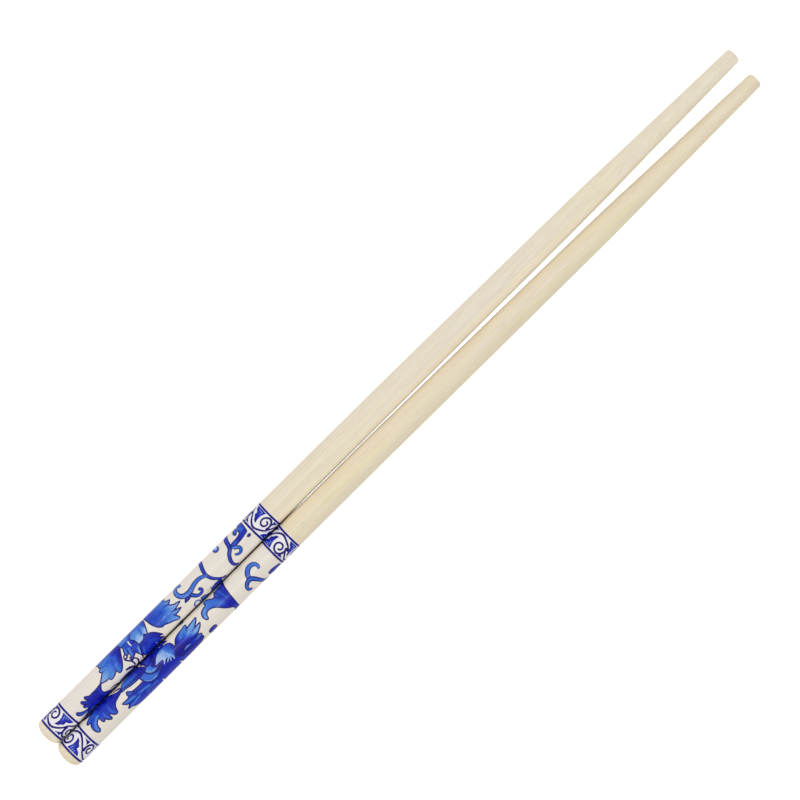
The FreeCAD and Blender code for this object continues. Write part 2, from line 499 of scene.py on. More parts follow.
def fill_seam_side(sheet: Drawing) -> None:
    """Paints the root of the flower as the right stick shows it next to the seam.

    Args:
        sheet: The drawing to paint on.
    """
    sheet.petal(Ink.DARK, (
        ((30.1, 3.2), (30.6, 1.6), (32.0, 1.0), (33.6, 1.4), (34.2, 3.0), (33.4, 4.8),
         (31.6, 5.3), (30.9, 4.9)),
    ), ((31.0, 3.0), 0.2, (33.6, 4.0), 0.1), (Streak(((31.2, 4.7), (32.6, 4.0)), 0.34, 0.3),))
    sheet.petal(Ink.PALE, (
        ((22.4, 4.9), (23.4, 3.6), (25.4, 2.9), (27.6, 2.8), (28.9, 3.1), (29.5, 3.9),
         (29.8, 4.7)),
        ((29.2, 5.3), (27.0, 5.5), (24.5, 5.4)),
    ), ((29.0, 4.0), 0.14, (23.2, 4.6), 0.5), (
        Streak(((24.0, 4.9), (26.0, 4.6), (27.6, 4.6)), 0.44, 0.3),))


def draw_vine(sheet: Drawing, side: Side) -> None:
    """Paints the tendrils and the vine between the flower and the shaft band.

    Args:
        sheet: The drawing to paint on.
        side: The stick; on the left one the ends of the vine and a small ring reach the seam.
    """
    ink = Ink.DARK
    on_left = side is Side.LEFT
    vine_end = ((60.4, 4.1), (59.4, 3.7)) if on_left else ((59.0, 2.9),)
    stem_end = ((64.1, 26.6), (64.7, 27.1)) if on_left else ()
    sheet.stroke(ink, (*vine_end, (58.35, 2.55), (57.4, 1.2), (57.0, -0.3),
                       (57.2, -1.7), (57.7, -3.5), (57.9, -4.8), (57.6, -6.4), (56.8, -8.2),
                       (56.6, -10.0), (57.5, -11.6)), (0.7, 1.15, 1.1), 0.34, 0.42)
    sheet.stroke(ink, ((50.7, 0.05), (51.25, 1.1), (52.0, 2.0), (53.1, 2.15), (53.75, 1.6),
                       (53.55, 1.0), (53.05, 1.25)), (1.3, 0.95, 0.7), 0.44, 0.45)
    sheet.petal(ink, (((48.5, 1.0), (49.2, 0.3), (50.2, 0.0)), ((51.0, 0.3), (50.2, 0.95))),
                ((48.6, 0.9), 0.16, (50.6, 0.3), 0.3))
    sheet.stroke(ink, ((50.35, -3.0), (50.0, -3.85), (49.1, -3.9), (48.4, -2.6), (48.7, -1.1),
                       (49.8, -0.3), (51.2, -0.2), (52.4, -0.5), (53.7, -0.85), (55.3, -0.85),
                       (56.9, -0.2)), (1.0, 1.5, 0.95), 0.6, 0.6)
    sheet.stroke(ink, ((66.6, 11.5), (67.4, 13.2), (67.6, 15.0), (67.1, 16.9), (66.6, 18.6),
                       (66.3, 20.0), (66.1, 21.1), (65.6, 22.2), (64.65, 22.95), (63.85, 24.3),
                       (63.7, 25.6), *stem_end), (1.1, 1.25, 0.85), 0.36, 0.42)
    sheet.petal(ink, (
        ((71.9, -5.4), (72.1, -3.3), (71.95, -1.6), (71.8, -0.95)),
        ((70.8, -0.65), (69.1, -0.4), (67.6, -0.3), (66.5, -0.3)),
        ((65.8, -0.9), (67.0, -1.35), (68.4, -1.4), (69.4, -1.6)),
        ((70.1, -1.9), (70.25, -2.5), (70.0, -2.95), (69.6, -2.7)),
        ((69.3, -2.25), (68.85, -2.5), (68.8, -3.2), (69.1, -3.9), (69.8, -4.1), (70.6, -3.5)),
        ((70.8, -4.6), (71.2, -5.6)),
    ), ((71.4, -3.6), 0.34, (66.8, -0.8), 0.2), (
        Streak(((69.2, -3.0), (69.6, -3.6), (70.6, -3.1), (71.3, -2.2)), 0.58, 0.24),
        Streak(((71.8, -1.6), (70.6, -1.3), (68.8, -0.9)), 0.08, 0.2),
        Streak(((67.2, -0.9), (68.2, -0.85)), 0.66, 0.18)))
    sheet.stroke(ink, ((66.3, -0.4), (67.15, 0.05), (67.75, 0.75), (67.45, 1.55), (66.65, 1.8),
                       (65.9, 1.4), (65.95, 1.0)), (1.15, 0.95, 0.6), 0.54, 0.5)
    sheet.petal(ink, (((70.9, 0.15), (71.5, -0.1)), ((72.1, 0.15), (71.5, 0.5))),
                ((71.0, 0.2), 0.05, (72.0, 0.2), 0.05))
    sheet.petal(ink, (((62.3, -4.5), (62.3, -3.4), (62.7, -2.8), (63.3, -2.75), (63.75, -3.3),
                       (63.7, -4.4), (63.0, -5.0)),), ((63.5, -3.0), 0.4, (62.9, -3.9), 0.9),
                (Streak(((62.4, -4.2), (62.6, -3.0), (63.4, -2.9)), 0.12, 0.18),))
    sheet.stroke(ink, ((67.7, 7.8), (68.15, 7.2), (68.0, 6.4), (67.2, 5.75), (66.1, 5.75),
                       (65.15, 6.4), (64.6, 7.3), (64.5, 8.3)), (0.75, 1.45, 1.3), 0.58, 0.6)
    sheet.stroke(ink, ((63.3, 10.5), (62.45, 10.1), (62.4, 9.2), (63.0, 8.5), (64.0, 8.1),
                       (64.9, 8.4), (65.6, 9.4), (66.1, 10.5), (66.6, 11.8)),
                 (0.7, 1.35, 1.1), 0.5, 0.5)
    sheet.petal(ink, (
        ((68.7, 10.7), (69.8, 10.5), (71.2, 10.8)),
        ((72.3, 11.2), (72.0, 12.2), (70.5, 12.6), (69.0, 12.0)),
    ), ((69.0, 11.0), 0.1, (72.0, 11.6), 0.2))
    sheet.petal(ink, (
        ((48.0, 10.6), (48.8, 10.25), (50.1, 10.3), (50.4, 10.9), (50.1, 11.6), (49.0, 11.9),
         (48.1, 11.5)),
    ), ((48.5, 10.6), 0.06, (50.0, 11.4), 0.3))
    if on_left:
        turns = [math.radians(angle) for angle in range(100, 441, 34)]
        ring = tuple((50.5 + 0.95 * math.cos(a), 3.95 + 1.05 * math.sin(a)) for a in turns)
        sheet.stroke(ink, ring, (0.36, 0.4, 0.36), tone=0.34)


def draw_leaves(sheet: Drawing) -> None:
    """Paints the feathered leaf at the butt, the leaf below the flower and the winged leaf.

    Args:
        sheet: The drawing to paint on.
    """
    dark, pale = Ink.DARK, Ink.PALE
    sheet.petal(dark, (
        ((20.1, 7.75), (21.3, 7.8), (22.2, 7.75)),
        ((22.6, 7.6), (22.6, 7.0), (22.8, 6.5)),
        ((23.1, 6.3), (23.5, 6.7), (24.1, 7.2), (25.0, 7.35), (26.3, 7.4)),
        ((27.6, 7.35), (29.0, 7.0), (31.0, 6.0), (33.0, 5.6), (37.0, 6.0), (42.0, 8.6)),
        ((46.0, 9.6), (46.3, 10.3)),
        ((46.0, 10.9), (44.0, 11.7), (38.0, 12.3), (30.0, 12.4), (24.5, 11.9), (22.4, 11.0)),
        ((21.6, 10.3), (21.2, 10.0), (20.8, 10.1)),
        ((20.4, 9.9), (20.9, 9.5)),
        ((21.6, 9.0), (21.0, 8.7), (20.5, 8.2)),
    ), ((22.0, 9.0), 0.24, (34.0, 10.0), 0.14), (
        Streak(((20.6, 8.1), (22.3, 8.4), (23.8, 8.7)), 0.66, 0.35),
        Streak(((25.1, 8.8), (26.6, 8.9), (28.2, 9.3)), 0.6, 0.42),
        Streak(((21.2, 10.0), (22.6, 9.7), (24.5, 9.5)), 0.6, 0.34),
        Streak(((23.2, 6.8), (23.4, 7.6)), 0.5, 0.22),
        Streak(((26.8, 10.1), (28.4, 9.9), (30.5, 10.0)), 0.5, 0.3),
        Streak(((31.0, 10.4), (36.0, 10.2), (41.0, 10.4)), 0.25, 0.6)))
    for line in (((22.8, 7.6), (24.8, 8.1), (27.4, 8.6)), ((22.0, 9.1), (24.5, 9.05), (25.6, 8.8)),
                 ((25.8, 9.5), (27.4, 9.8), (29.5, 9.6))):
        sheet.stroke(dark, line, (0.3, 0.22, 0.14))
    sheet.stroke(Ink.BARE, ((31.6, 10.9), (31.5, 11.8), (31.4, 12.8)), (0.15, 0.35, 0.5))
    sheet.stroke(Ink.BARE, ((37.8, 10.9), (37.9, 11.8), (38.0, 12.9)), (0.2, 0.5, 0.8))
    sheet.petal(dark, (
        ((19.7, 0.35), (18.9, 0.45), (17.6, 0.6), (16.4, 0.6), (15.3, 0.55), (14.7, 0.15),
         (14.3, -0.1), (14.05, 0.15), (14.05, 0.55)),
        ((14.75, 1.3), (14.0, 1.1), (13.4, 0.65), (13.1, 0.25), (12.8, 0.2), (12.6, 0.5),
         (12.8, 1.0)),
        ((13.6, 1.7), (13.1, 1.5), (12.6, 1.4), (12.35, 1.6), (12.5, 2.0), (12.9, 2.3)),
        ((13.6, 2.6), (12.8, 2.85), (11.9, 2.7), (11.0, 2.2), (10.5, 1.7), (10.15, 1.4),
         (9.85, 1.65), (9.9, 2.4), (10.4, 2.95), (11.3, 3.3), (12.3, 3.35)),
        ((13.6, 3.3), (12.2, 3.8), (11.2, 4.3), (10.5, 4.75), (10.25, 5.1), (10.45, 5.4),
         (11.0, 5.4)),
        ((11.4, 5.5), (10.95, 6.0), (10.6, 7.0), (10.75, 8.0), (11.1, 8.6), (11.55, 8.7),
         (11.95, 8.3), (12.05, 7.5), (12.4, 6.8), (13.0, 6.3)),
        ((13.6, 6.1), (13.65, 6.9), (13.75, 7.5), (14.05, 7.75), (14.35, 7.5)),
        ((14.5, 7.0), (14.8, 7.7), (15.3, 8.3), (15.8, 8.6), (16.1, 8.3), (16.0, 7.6)),
        ((16.15, 7.0), (16.5, 7.5), (17.0, 8.2), (17.5, 8.5), (18.05, 8.3), (18.3, 7.6),
         (18.8, 6.7), (19.6, 6.1), (20.8, 5.7)),
        ((22.6, 5.15), (22.4, 4.75), (21.2, 4.5), (20.2, 4.1), (19.3, 3.4), (18.6, 2.8),
         (18.4, 2.1), (18.7, 1.4), (19.1, 0.9)),
    ), ((19.0, 2.5), 0.13, (12.5, 6.0), 0.3), (
        Streak(((11.4, 8.3), (11.5, 7.3), (12.2, 6.3), (13.6, 5.5)), 0.64, 0.42),
        Streak(((10.7, 5.1), (12.0, 4.5), (13.8, 4.1)), 0.46, 0.3),
        Streak(((10.3, 2.3), (11.4, 2.9), (12.5, 3.0)), 0.44, 0.3),
        Streak(((15.6, 8.1), (15.1, 7.2), (15.2, 6.0)), 0.5, 0.26),
        Streak(((17.5, 8.1), (17.0, 7.0), (17.1, 5.8)), 0.46, 0.3),
        Streak(((14.05, 7.4), (14.1, 6.4)), 0.42, 0.2),
        Streak(((13.1, 0.5), (14.2, 1.6)), 0.3, 0.25),
        Streak(((14.3, 2.2), (16.2, 2.3), (17.0, 3.4)), 0.06, 0.7),
        Streak(((15.5, 4.8), (17.5, 5.0)), 0.28, 0.5),
        Streak(((18.2, 1.0), (18.0, 2.6), (18.6, 4.0)), 0.26, 0.3)))
    for line in (((17.3, 0.6), (17.5, 2.4), (17.3, 4.6)), ((14.7, 3.0), (14.9, 4.2), (15.6, 5.2)),
                 ((13.6, 3.3), (14.7, 3.2))):
        sheet.stroke(dark, line, (0.16, 0.24, 0.12))
    sheet.stroke(dark, ((20.2, 3.5), (21.1, 3.65), (22.0, 4.0), (22.8, 4.8)), (0.2, 0.5, 0.5))
    sheet.petal(pale, (
        ((50.1, 7.95), (49.6, 7.4), (49.5, 6.6), (49.75, 5.8), (50.3, 5.2), (51.0, 4.9)),
        ((51.85, 4.75), (51.9, 4.2)),
        ((52.0, 3.3), (52.8, 3.4), (53.4, 3.9), (54.0, 4.5)),
        ((54.6, 4.95), (55.1, 4.6), (55.35, 4.0)),
        ((55.5, 3.6), (57.0, 3.3)),
        ((58.9, 3.2), (58.6, 4.5), (58.4, 6.0), (58.2, 7.8), (58.0, 9.6), (57.8, 11.4)),
        ((57.8, 12.2), (56.95, 12.0)),
        ((56.75, 11.2), (56.55, 10.3), (56.0, 9.8), (55.1, 8.9), (54.2, 7.75), (53.3, 6.85),
         (52.3, 6.35), (51.3, 6.3), (50.65, 6.8), (50.4, 7.5)),
    ), ((57.0, 9.0), 0.16, (51.6, 5.6), 0.56), (
        Streak(((50.0, 7.4), (50.2, 6.2), (51.2, 5.6)), 0.7, 0.36),
        Streak(((52.8, 4.6), (54.0, 6.0), (55.6, 7.2)), 0.52, 0.6),
        Streak(((56.4, 3.6), (57.0, 6.0), (57.2, 7.4)), 0.4, 0.4),
        Streak(((56.6, 9.4), (57.4, 8.6)), 0.12, 0.7)))
    for line in (((55.5, 3.0), (56.2, 5.2), (56.7, 6.8)), ((57.0, 3.0), (57.4, 5.4), (57.5, 6.9)),
                 ((54.5, 4.6), (55.4, 5.4), (55.9, 6.3))):
        sheet.stroke(pale, line, (0.28, 0.24, 0.1))


def draw_flower(sheet: Drawing) -> None:
    """Paints the open flower from its back petals to its stamens.

    Args:
        sheet: The drawing to paint on.
    """
    dark, pale = Ink.DARK, Ink.PALE
    sheet.petal(pale, (
        ((39.2, 7.1), (39.9, 6.5), (40.5, 5.8), (41.3, 5.2), (42.3, 4.9), (43.5, 4.75)),
        ((44.85, 4.4), (45.0, 4.9), (44.8, 5.3)),
        ((44.5, 5.7), (45.2, 5.5), (46.6, 5.3)),
        ((48.2, 5.1), (47.8, 5.8), (47.0, 6.4)),
        ((46.2, 7.0), (47.2, 6.9)),
        ((48.2, 6.9), (47.5, 7.6), (46.6, 8.1)),
        ((45.5, 8.6), (46.0, 8.9)),
        ((46.6, 9.3), (46.0, 9.7), (45.0, 10.0), (42.0, 10.3), (39.5, 10.2)),
        ((38.4, 8.9), (38.7, 7.9)),
    ), ((41.0, 9.4), 0.06, (46.0, 5.8), 0.66), (
        Streak(((47.3, 5.5), (45.8, 6.2), (44.0, 6.7)), 0.74, 0.38),
        Streak(((47.2, 7.3), (46.2, 7.6), (44.5, 8.0)), 0.8, 0.24),
        Streak(((44.4, 4.9), (43.2, 5.5), (41.8, 6.3)), 0.6, 0.36),
        Streak(((45.9, 9.3), (44.6, 9.3)), 0.6, 0.2),
        Streak(((39.8, 8.4), (42.5, 8.2), (45.0, 8.6)), 0.04, 0.45)))
    sheet.stroke(pale, ((40.6, 9.2), (41.6, 9.05), (42.8, 9.25)), (0.2, 0.5, 0.2), tone=0.62)
    for line in (((45.0, 4.9), (44.5, 5.6), (44.0, 6.3)), ((46.2, 7.0), (45.1, 7.15)),
                 ((45.5, 8.6), (44.1, 8.7)), ((40.0, 9.0), (41.6, 8.7), (43.2, 9.0))):
        sheet.stroke(pale, line, (0.3, 0.24, 0.12))
    sheet.petal(pale, (
        ((19.4, 0.35), (20.3, -0.25), (21.0, -0.75)),
        ((21.65, -1.3), (21.35, -1.7)),
        ((21.2, -2.1), (21.7, -2.3)),
        ((22.1, -2.6), (21.8, -3.0)),
        ((21.7, -3.4), (22.0, -3.7)),
        ((21.6, -4.2), (21.5, -5.0), (22.4, -5.8), (25.0, -6.3), (27.6, -5.9)),
        ((29.2, -4.2), (28.9, -2.6), (28.2, -1.3), (27.4, 0.0), (26.6, 0.95), (25.8, 1.7),
         (25.2, 2.0), (24.75, 1.9)),
        ((24.55, 0.8), (24.1, 1.05), (23.4, 1.45), (22.7, 1.65), (22.1, 1.6)),
        ((21.85, 0.9), (21.2, 0.95), (20.4, 0.75)),
    ), ((28.4, -3.0), 0.14, (20.6, 0.2), 0.74), (
        Streak(((24.9, 1.5), (25.3, 0.4), (25.8, -0.6)), 0.58, 0.36),
        Streak(((22.3, 1.0), (23.2, 0.1), (24.4, -1.4)), 0.56, 0.4),
        Streak(((24.0, -3.4), (25.4, -2.6), (26.4, -1.6)), 0.42, 0.8),
        Streak(((22.1, -2.8), (24.0, -3.2), (25.5, -3.6)), 0.55, 0.4),
        Streak(((22.0, -4.4), (24.0, -4.8)), 0.6, 0.35),
        Streak(((27.6, -4.6), (28.2, -2.4), (26.9, 0.0)), 0.08, 0.5)))
    for line in (((21.9, -2.4), (22.8, -2.3), (23.6, -1.9)), ((21.6, -1.4), (22.6, -1.2)),
                 ((22.0, -3.6), (23.2, -3.7)), ((24.55, 0.8), (24.9, 0.2))):
        sheet.stroke(pale, line, (0.26, 0.18, 0.08))
    sheet.petal(pale, (
        ((28.9, -5.6), (28.9, -3.6)),
        ((29.5, -1.9), (29.06, -1.16), (28.95, -0.5)),
        ((29.0, 0.3), (29.74, -0.1)),
        ((29.75, 0.5), (29.6, 1.2)),
        ((29.55, 1.8), (30.2, 1.4)),
        ((31.2, 0.9), (31.45, 1.7)),
        ((31.75, 2.65), (32.4, 2.0), (32.9, 1.1)),
        ((33.1, 0.3), (34.5, -2.0)),
        ((34.4, -5.6), (31.0, -5.9)),
    ), ((31.9, -0.8), 0.26, (30.0, -4.5), 0.5), (
        Streak(((29.2, -0.3), (29.6, -1.3)), 0.66, 0.26),
        Streak(((29.75, 1.3), (30.2, 0.1), (30.6, -0.9)), 0.64, 0.32),
        Streak(((31.75, 2.3), (32.1, 1.4), (32.5, 0.6)), 0.8, 0.3),
        Streak(((29.5, -4.2), (31.5, -3.6)), 0.62, 0.55)))
    for line in (((31.2, 0.9), (31.0, 0.1), (31.2, -0.6)), ((29.74, -0.1), (30.2, -0.9)),
                 ((29.2, -2.3), (30.4, -2.5), (31.2, -2.5)), ((32.2, -1.4), (33.0, -0.9)),
                 ((33.0, 0.4), (32.95, 1.2), (32.0, 2.4))):
        sheet.stroke(pale, line, (0.2, 0.3, 0.2))
    sheet.stroke(Ink.BARE, ((31.6, -2.6), (31.45, -1.8), (31.55, -0.8)), (0.3, 0.4, 0.2))
    sheet.petal(pale, (
        ((33.2, 0.25), (33.05, -0.7)),
        ((32.9, -1.5), (32.4, -2.1)),
        ((32.3, -2.6), (33.0, -4.0)),
        ((33.2, -5.6), (35.2, -5.9)),
        ((37.2, -5.6), (37.75, -3.8), (37.35, -2.1), (36.85, -0.9)),
        ((36.35, -0.1), (36.0, -0.5)),
        ((35.7, -0.95), (35.4, -0.4), (34.8, 0.05), (34.0, 0.2)),
    ), ((35.0, -4.8), 0.42, (34.4, 0.0), 0.86), (
        Streak(((36.3, -0.5), (36.7, -1.9)), 0.86, 0.22),
        Streak(((35.3, -1.2), (35.7, -3.4)), 0.42, 0.3),
        Streak(((33.3, -1.6), (34.0, -3.4)), 0.62, 0.35),
        Streak(((37.2, -2.6), (36.9, -4.6)), 0.3, 0.35)))
    sheet.petal(dark, (
        ((33.0, 0.5), (33.6, 0.2), (34.6, 0.15), (35.2, -0.15)),
        ((35.6, -0.75), (35.9, -0.4), (36.7, -0.1), (37.6, 0.45), (38.4, 1.45)),
        ((39.1, 2.95), (38.6, 2.6)),
        ((37.9, 2.25), (38.1, 2.8)),
        ((38.9, 4.0), (38.2, 3.85)),
        ((37.2, 3.75), (37.3, 4.1)),
        ((37.4, 4.5), (36.0, 4.7), (34.4, 5.1), (32.4, 5.5)),
        ((30.7, 5.1), (31.3, 4.7), (32.0, 4.3)),
        ((32.5, 4.1), (32.2, 3.4), (32.1, 2.4), (32.5, 1.5)),
    ), ((34.0, 2.0), 0.16, (38.5, 3.0), 0.14), (
        Streak(((35.4, 1.4), (36.6, 2.3), (37.4, 3.3)), 0.3, 0.6),
        Streak(((32.5, 3.3), (32.8, 2.4), (33.6, 1.4)), 0.46, 0.26),
        Streak(((33.4, 2.9), (34.6, 2.3)), 0.3, 0.5)))
    sheet.stroke(pale, ((36.35, 3.25), (36.5, 3.8)), (0.2, 0.3, 0.2), tone=0.8)
    sheet.stroke(dark, ((38.2, 2.4), (37.4, 2.0)), (0.24, 0.2, 0.1))
    sheet.petal(pale, (
        ((38.0, -5.6), (38.3, -3.6), (38.6, -1.8), (38.9, -0.6), (39.5, 0.5)),
        ((40.35, 1.3), (40.9, 1.2), (41.5, 1.45), (42.5, 1.95), (43.6, 2.45)),
        ((44.3, 3.1), (44.9, 3.0), (45.0, 2.4)),
        ((44.6, 1.4), (45.6, 1.35)),
        ((47.1, 1.05), (46.3, 0.75)),
        ((45.2, 0.35), (46.4, 0.15)),
        ((48.0, -0.25), (47.2, -0.5), (46.2, -0.8), (45.6, -1.2)),
        ((45.2, -1.8), (45.8, -2.1)),
        ((46.3, -2.6), (45.5, -2.9)),
        ((44.9, -3.6), (44.8, -4.0)),
        ((45.2, -4.7), (44.3, -5.4), (42.5, -6.0), (40.0, -6.1)),
    ), ((39.4, -2.6), 0.34, (47.0, -0.6), 0.66), (
        Streak(((47.4, -0.4), (46.4, -0.6), (45.0, -0.9)), 0.8, 0.3),
        Streak(((44.6, 2.6), (43.6, 1.8), (42.4, 1.3)), 0.74, 0.28),
        Streak(((46.7, 1.05), (45.8, 0.95), (45.0, 0.7)), 0.74, 0.22),
        Streak(((45.8, -2.5), (44.8, -2.7)), 0.7, 0.26),
        Streak(((39.4, -3.6), (40.8, -1.6), (42.4, -1.6)), 0.32, 0.8),
        Streak(((44.4, -4.7), (43.0, -4.6)), 0.62, 0.35),
        # This tiny pale touch on top of the grip is a painted highlight, the glint of the gloss.
        Streak(((42.4, -0.25), (42.45, -0.2)), 0.9, 0.16)))
    for line in (((45.2, -1.8), (44.2, -2.1), (43.3, -2.15)), ((45.2, 0.35), (44.3, 0.0)),
                 ((44.6, 1.4), (44.3, 0.9)), ((44.9, -3.6), (44.2, -3.7)),
                 ((40.3, 1.25), (40.8, 1.05))):
        sheet.stroke(pale, line, (0.32, 0.22, 0.1))
    sheet.petal(pale, (
        ((27.7, 5.9), (27.8, 7.0), (28.3, 8.0), (29.1, 8.75), (30.2, 9.15), (31.6, 9.05),
         (32.8, 8.6)),
        ((34.2, 7.6), (32.8, 7.9), (31.6, 7.9), (30.6, 7.5), (30.0, 6.9), (29.7, 6.2)),
        ((29.6, 5.6), (28.6, 5.9)),
    ), ((28.6, 6.6), 0.42, (32.0, 8.5), 0.5), (
        Streak(((28.0, 7.6), (29.2, 8.7), (31.2, 8.9)), 0.84, 0.2),
        Streak(((28.2, 6.6), (29.4, 7.6), (31.0, 8.1)), 0.5, 0.3),
        Streak(((33.6, 7.8), (32.0, 8.3)), 0.2, 0.3)))
    sheet.petal(pale, (
        ((29.7, 5.3), (29.8, 6.3), (30.4, 7.2), (31.4, 7.7), (32.6, 7.6)),
        ((33.9, 7.1), (32.7, 6.9), (32.1, 6.4), (32.4, 5.8)),
        ((33.4, 5.0), (31.6, 5.2), (30.6, 5.2)),
    ), ((32.2, 5.4), 0.3, (30.4, 6.8), 0.6), (
        Streak(((30.1, 6.2), (30.9, 7.1), (32.2, 7.4)), 0.74, 0.22),
        Streak(((30.4, 5.6), (31.4, 6.2)), 0.6, 0.25)))
    sheet.petal(pale, (
        ((32.4, 6.9), (33.1, 6.3), (33.9, 5.5), (34.9, 4.8), (36.2, 4.4), (37.6, 4.4),
         (38.7, 4.8), (39.3, 5.6), (39.4, 6.6), (38.9, 7.7)),
        ((37.6, 9.1), (37.4, 8.5)),
        ((37.0, 7.9), (36.4, 8.1)),
        ((35.7, 8.4), (36.0, 7.9)),
        ((36.2, 7.4), (35.4, 7.7)),
        ((34.5, 7.95), (34.8, 7.5)),
        ((35.0, 7.0), (33.6, 7.0)),
    ), ((38.4, 4.9), 0.34, (34.6, 7.2), 0.9), (
        Streak(((33.2, 6.7), (34.8, 6.2), (36.4, 5.5)), 0.84, 0.42),
        Streak(((37.4, 8.3), (37.0, 7.2), (36.6, 6.2)), 0.84, 0.26),
        Streak(((39.2, 5.8), (38.7, 7.6), (38.0, 8.4)), 0.2, 0.34)))
    for line in (((34.5, 8.1), (35.4, 7.4)), ((35.5, 8.35), (36.3, 7.7)),
                 ((36.3, 8.7), (36.9, 7.9)), ((37.4, 9.0), (37.4, 8.0))):
        sheet.stroke(pale, line, (0.16, 0.34, 0.3), tone=0.84)
    sheet.petal(pale, (
        ((22.0, 5.5), (22.6, 5.0)),
        ((23.1, 4.3), (24.0, 4.1), (25.4, 3.95), (27.0, 4.15)),
        ((28.4, 4.5), (29.5, 4.3)),
        ((30.2, 4.5), (30.3, 4.8)),
        ((30.7, 5.2), (30.2, 5.7), (28.8, 6.0), (27.0, 6.1), (25.0, 5.95), (23.4, 5.6)),
    ), ((29.4, 4.4), 0.12, (22.8, 5.0), 0.7), (
        Streak(((22.9, 5.0), (24.4, 4.8), (26.0, 4.6)), 0.6, 0.34),
        Streak(((24.0, 4.2), (27.0, 4.3), (29.0, 4.6)), 0.18, 0.3)))
    draw_stamens(sheet)


def draw_stamens(sheet: Drawing) -> None:
    """Paints the white slivers and the thin dark curls in the flower's heart.

    Args:
        sheet: The drawing to paint on.
    """
    for line, widths in (
        (((29.3, -2.3), (28.75, -1.3), (28.5, -0.5)), (0.2, 0.5, 0.4)),
        (((28.3, -0.1), (28.5, 0.15)), (0.5, 0.6, 0.4)),
        (((28.6, 0.95), (29.0, 1.1)), (0.55, 0.6, 0.5)),
        (((29.5, 2.4), (29.7, 2.9)), (0.6, 0.7, 0.5)),
        (((30.6, 1.9), (31.0, 2.6), (31.0, 3.4)), (0.5, 0.9, 0.7)),
        (((31.6, 4.4), (32.6, 4.3)), (0.3, 0.4, 0.2)),
    ):
        sheet.stroke(Ink.BARE, line, widths)
    for line in (
        ((28.9, -0.6), (28.2, -0.15), (27.98, 0.5), (28.36, 1.16), (28.85, 1.9), (28.98, 2.8),
         (28.85, 3.6), (28.4, 3.8)),
        ((27.98, 0.5), (28.58, 0.41), (29.1, 0.2)),
        ((29.3, 0.7), (29.15, 1.5), (28.99, 2.3)),
        ((29.14, 1.85), (29.6, 1.85), (30.0, 1.95), (30.28, 2.52), (30.2, 3.24), (29.75, 4.1),
         (29.1, 4.6)),
        ((31.75, 2.6), (31.7, 3.4), (31.3, 4.0)),
    ):
        sheet.stroke(Ink.DARK, line, (0.34, 0.46, 0.4))
    sheet.stroke(Ink.DARK, ((26.2, 2.7), (27.1, 2.95), (27.8, 3.4), (28.5, 4.1)),
                 (0.6, 0.86, 0.6))


@dataclass
class PrintSheet:
    """The flat print cut into triangles, each with one ink and a tone at each corner."""

    step_along: float = 0.42
    step_round: float = 0.38
    low_arc: float = -4.6
    sheet_ends: tuple[float, float] = (1.0, 81.0)
    print_ends: tuple[float, float] = (2.6, 79.0)
    weld: float = 1e-5
    places: np.ndarray = field(default_factory=lambda: np.zeros((0, 2)))
    cells: dict[Ink, list[tuple[int, int, int]]] = field(default_factory=dict)
    tones: dict[Ink, list[float]] = field(default_factory=dict)

    def cut(self, drawing: Drawing) -> None:
        """Cuts a drawing into triangles, the mark painted last on top.

        Args:
            drawing: The flat print.
        """
        high_arc = self.low_arc + GIRTH
        corners: list[Point] = []
        edges: list[tuple[int, int]] = []
        copies: list[tuple[int, float]] = []
        for rank, mark in enumerate(drawing.marks):
            arcs = [v for _, v in mark.outline]
            for shift in (-GIRTH, 0.0, GIRTH):
                if max(arcs) + shift < self.low_arc or min(arcs) + shift > high_arc:
                    continue
                first, count = len(corners), len(mark.outline)
                corners.extend((x, v + shift) for x, v in mark.outline)
                edges.extend((first + k, first + (k + 1) % count) for k in range(count))
                copies.append((rank, shift))
        for arc in (self.low_arc, high_arc):
            edges.append((len(corners), len(corners) + 1))
            corners.extend((end, arc) for end in self.sheet_ends)
        corners.extend(self._fill_points(drawing))
        flat, _, faces = delaunay_2d_cdt([Vector(c) for c in corners], edges, [], 0, self.weld)[:3]
        self.places = np.array([tuple(p) for p in flat])
        cells = np.array([tuple(face) for face in faces])
        middles = self.places[cells].mean(axis=1)
        owner = np.full(len(cells), -1)
        for number, (rank, shift) in enumerate(copies):
            mark = drawing.marks[rank]
            owner[covers(mark.outline, middles - np.array((0.0, shift)))] = number
        owner[(middles[:, 1] < self.low_arc) | (middles[:, 1] > high_arc)] = -1
        for number, (rank, shift) in enumerate(copies):
            mark = drawing.marks[rank]
            mine = cells[owner == number]
            if len(mine):
                where = self.places[mine.ravel()] - np.array((0.0, shift))
                self.cells.setdefault(mark.ink, []).extend(mine.tolist())
                self.tones.setdefault(mark.ink, []).extend(mark.tones(where).tolist())

    def _fill_points(self, drawing: Drawing) -> list[Point]:
        """Points inside the petals, close enough together to carry their wash.

        Args:
            drawing: The flat print.

        Returns:
            The points.
        """
        across = np.arange(self.low_arc + self.step_round / 2, self.low_arc + GIRTH,
                           self.step_round)
        along = np.arange(*self.print_ends, self.step_along)
        grid = np.array([(x + self.step_along / 2 * (j % 2), v)
                         for j, v in enumerate(across) for x in along])
        inside = np.zeros(len(grid), bool)
        for mark in drawing.marks:
            if isinstance(mark, Petal):
                for shift in (-GIRTH, 0.0, GIRTH):
                    inside |= covers(mark.outline, grid - np.array((0.0, shift)))
        return [(float(x), float(v)) for x, v in grid[inside]]


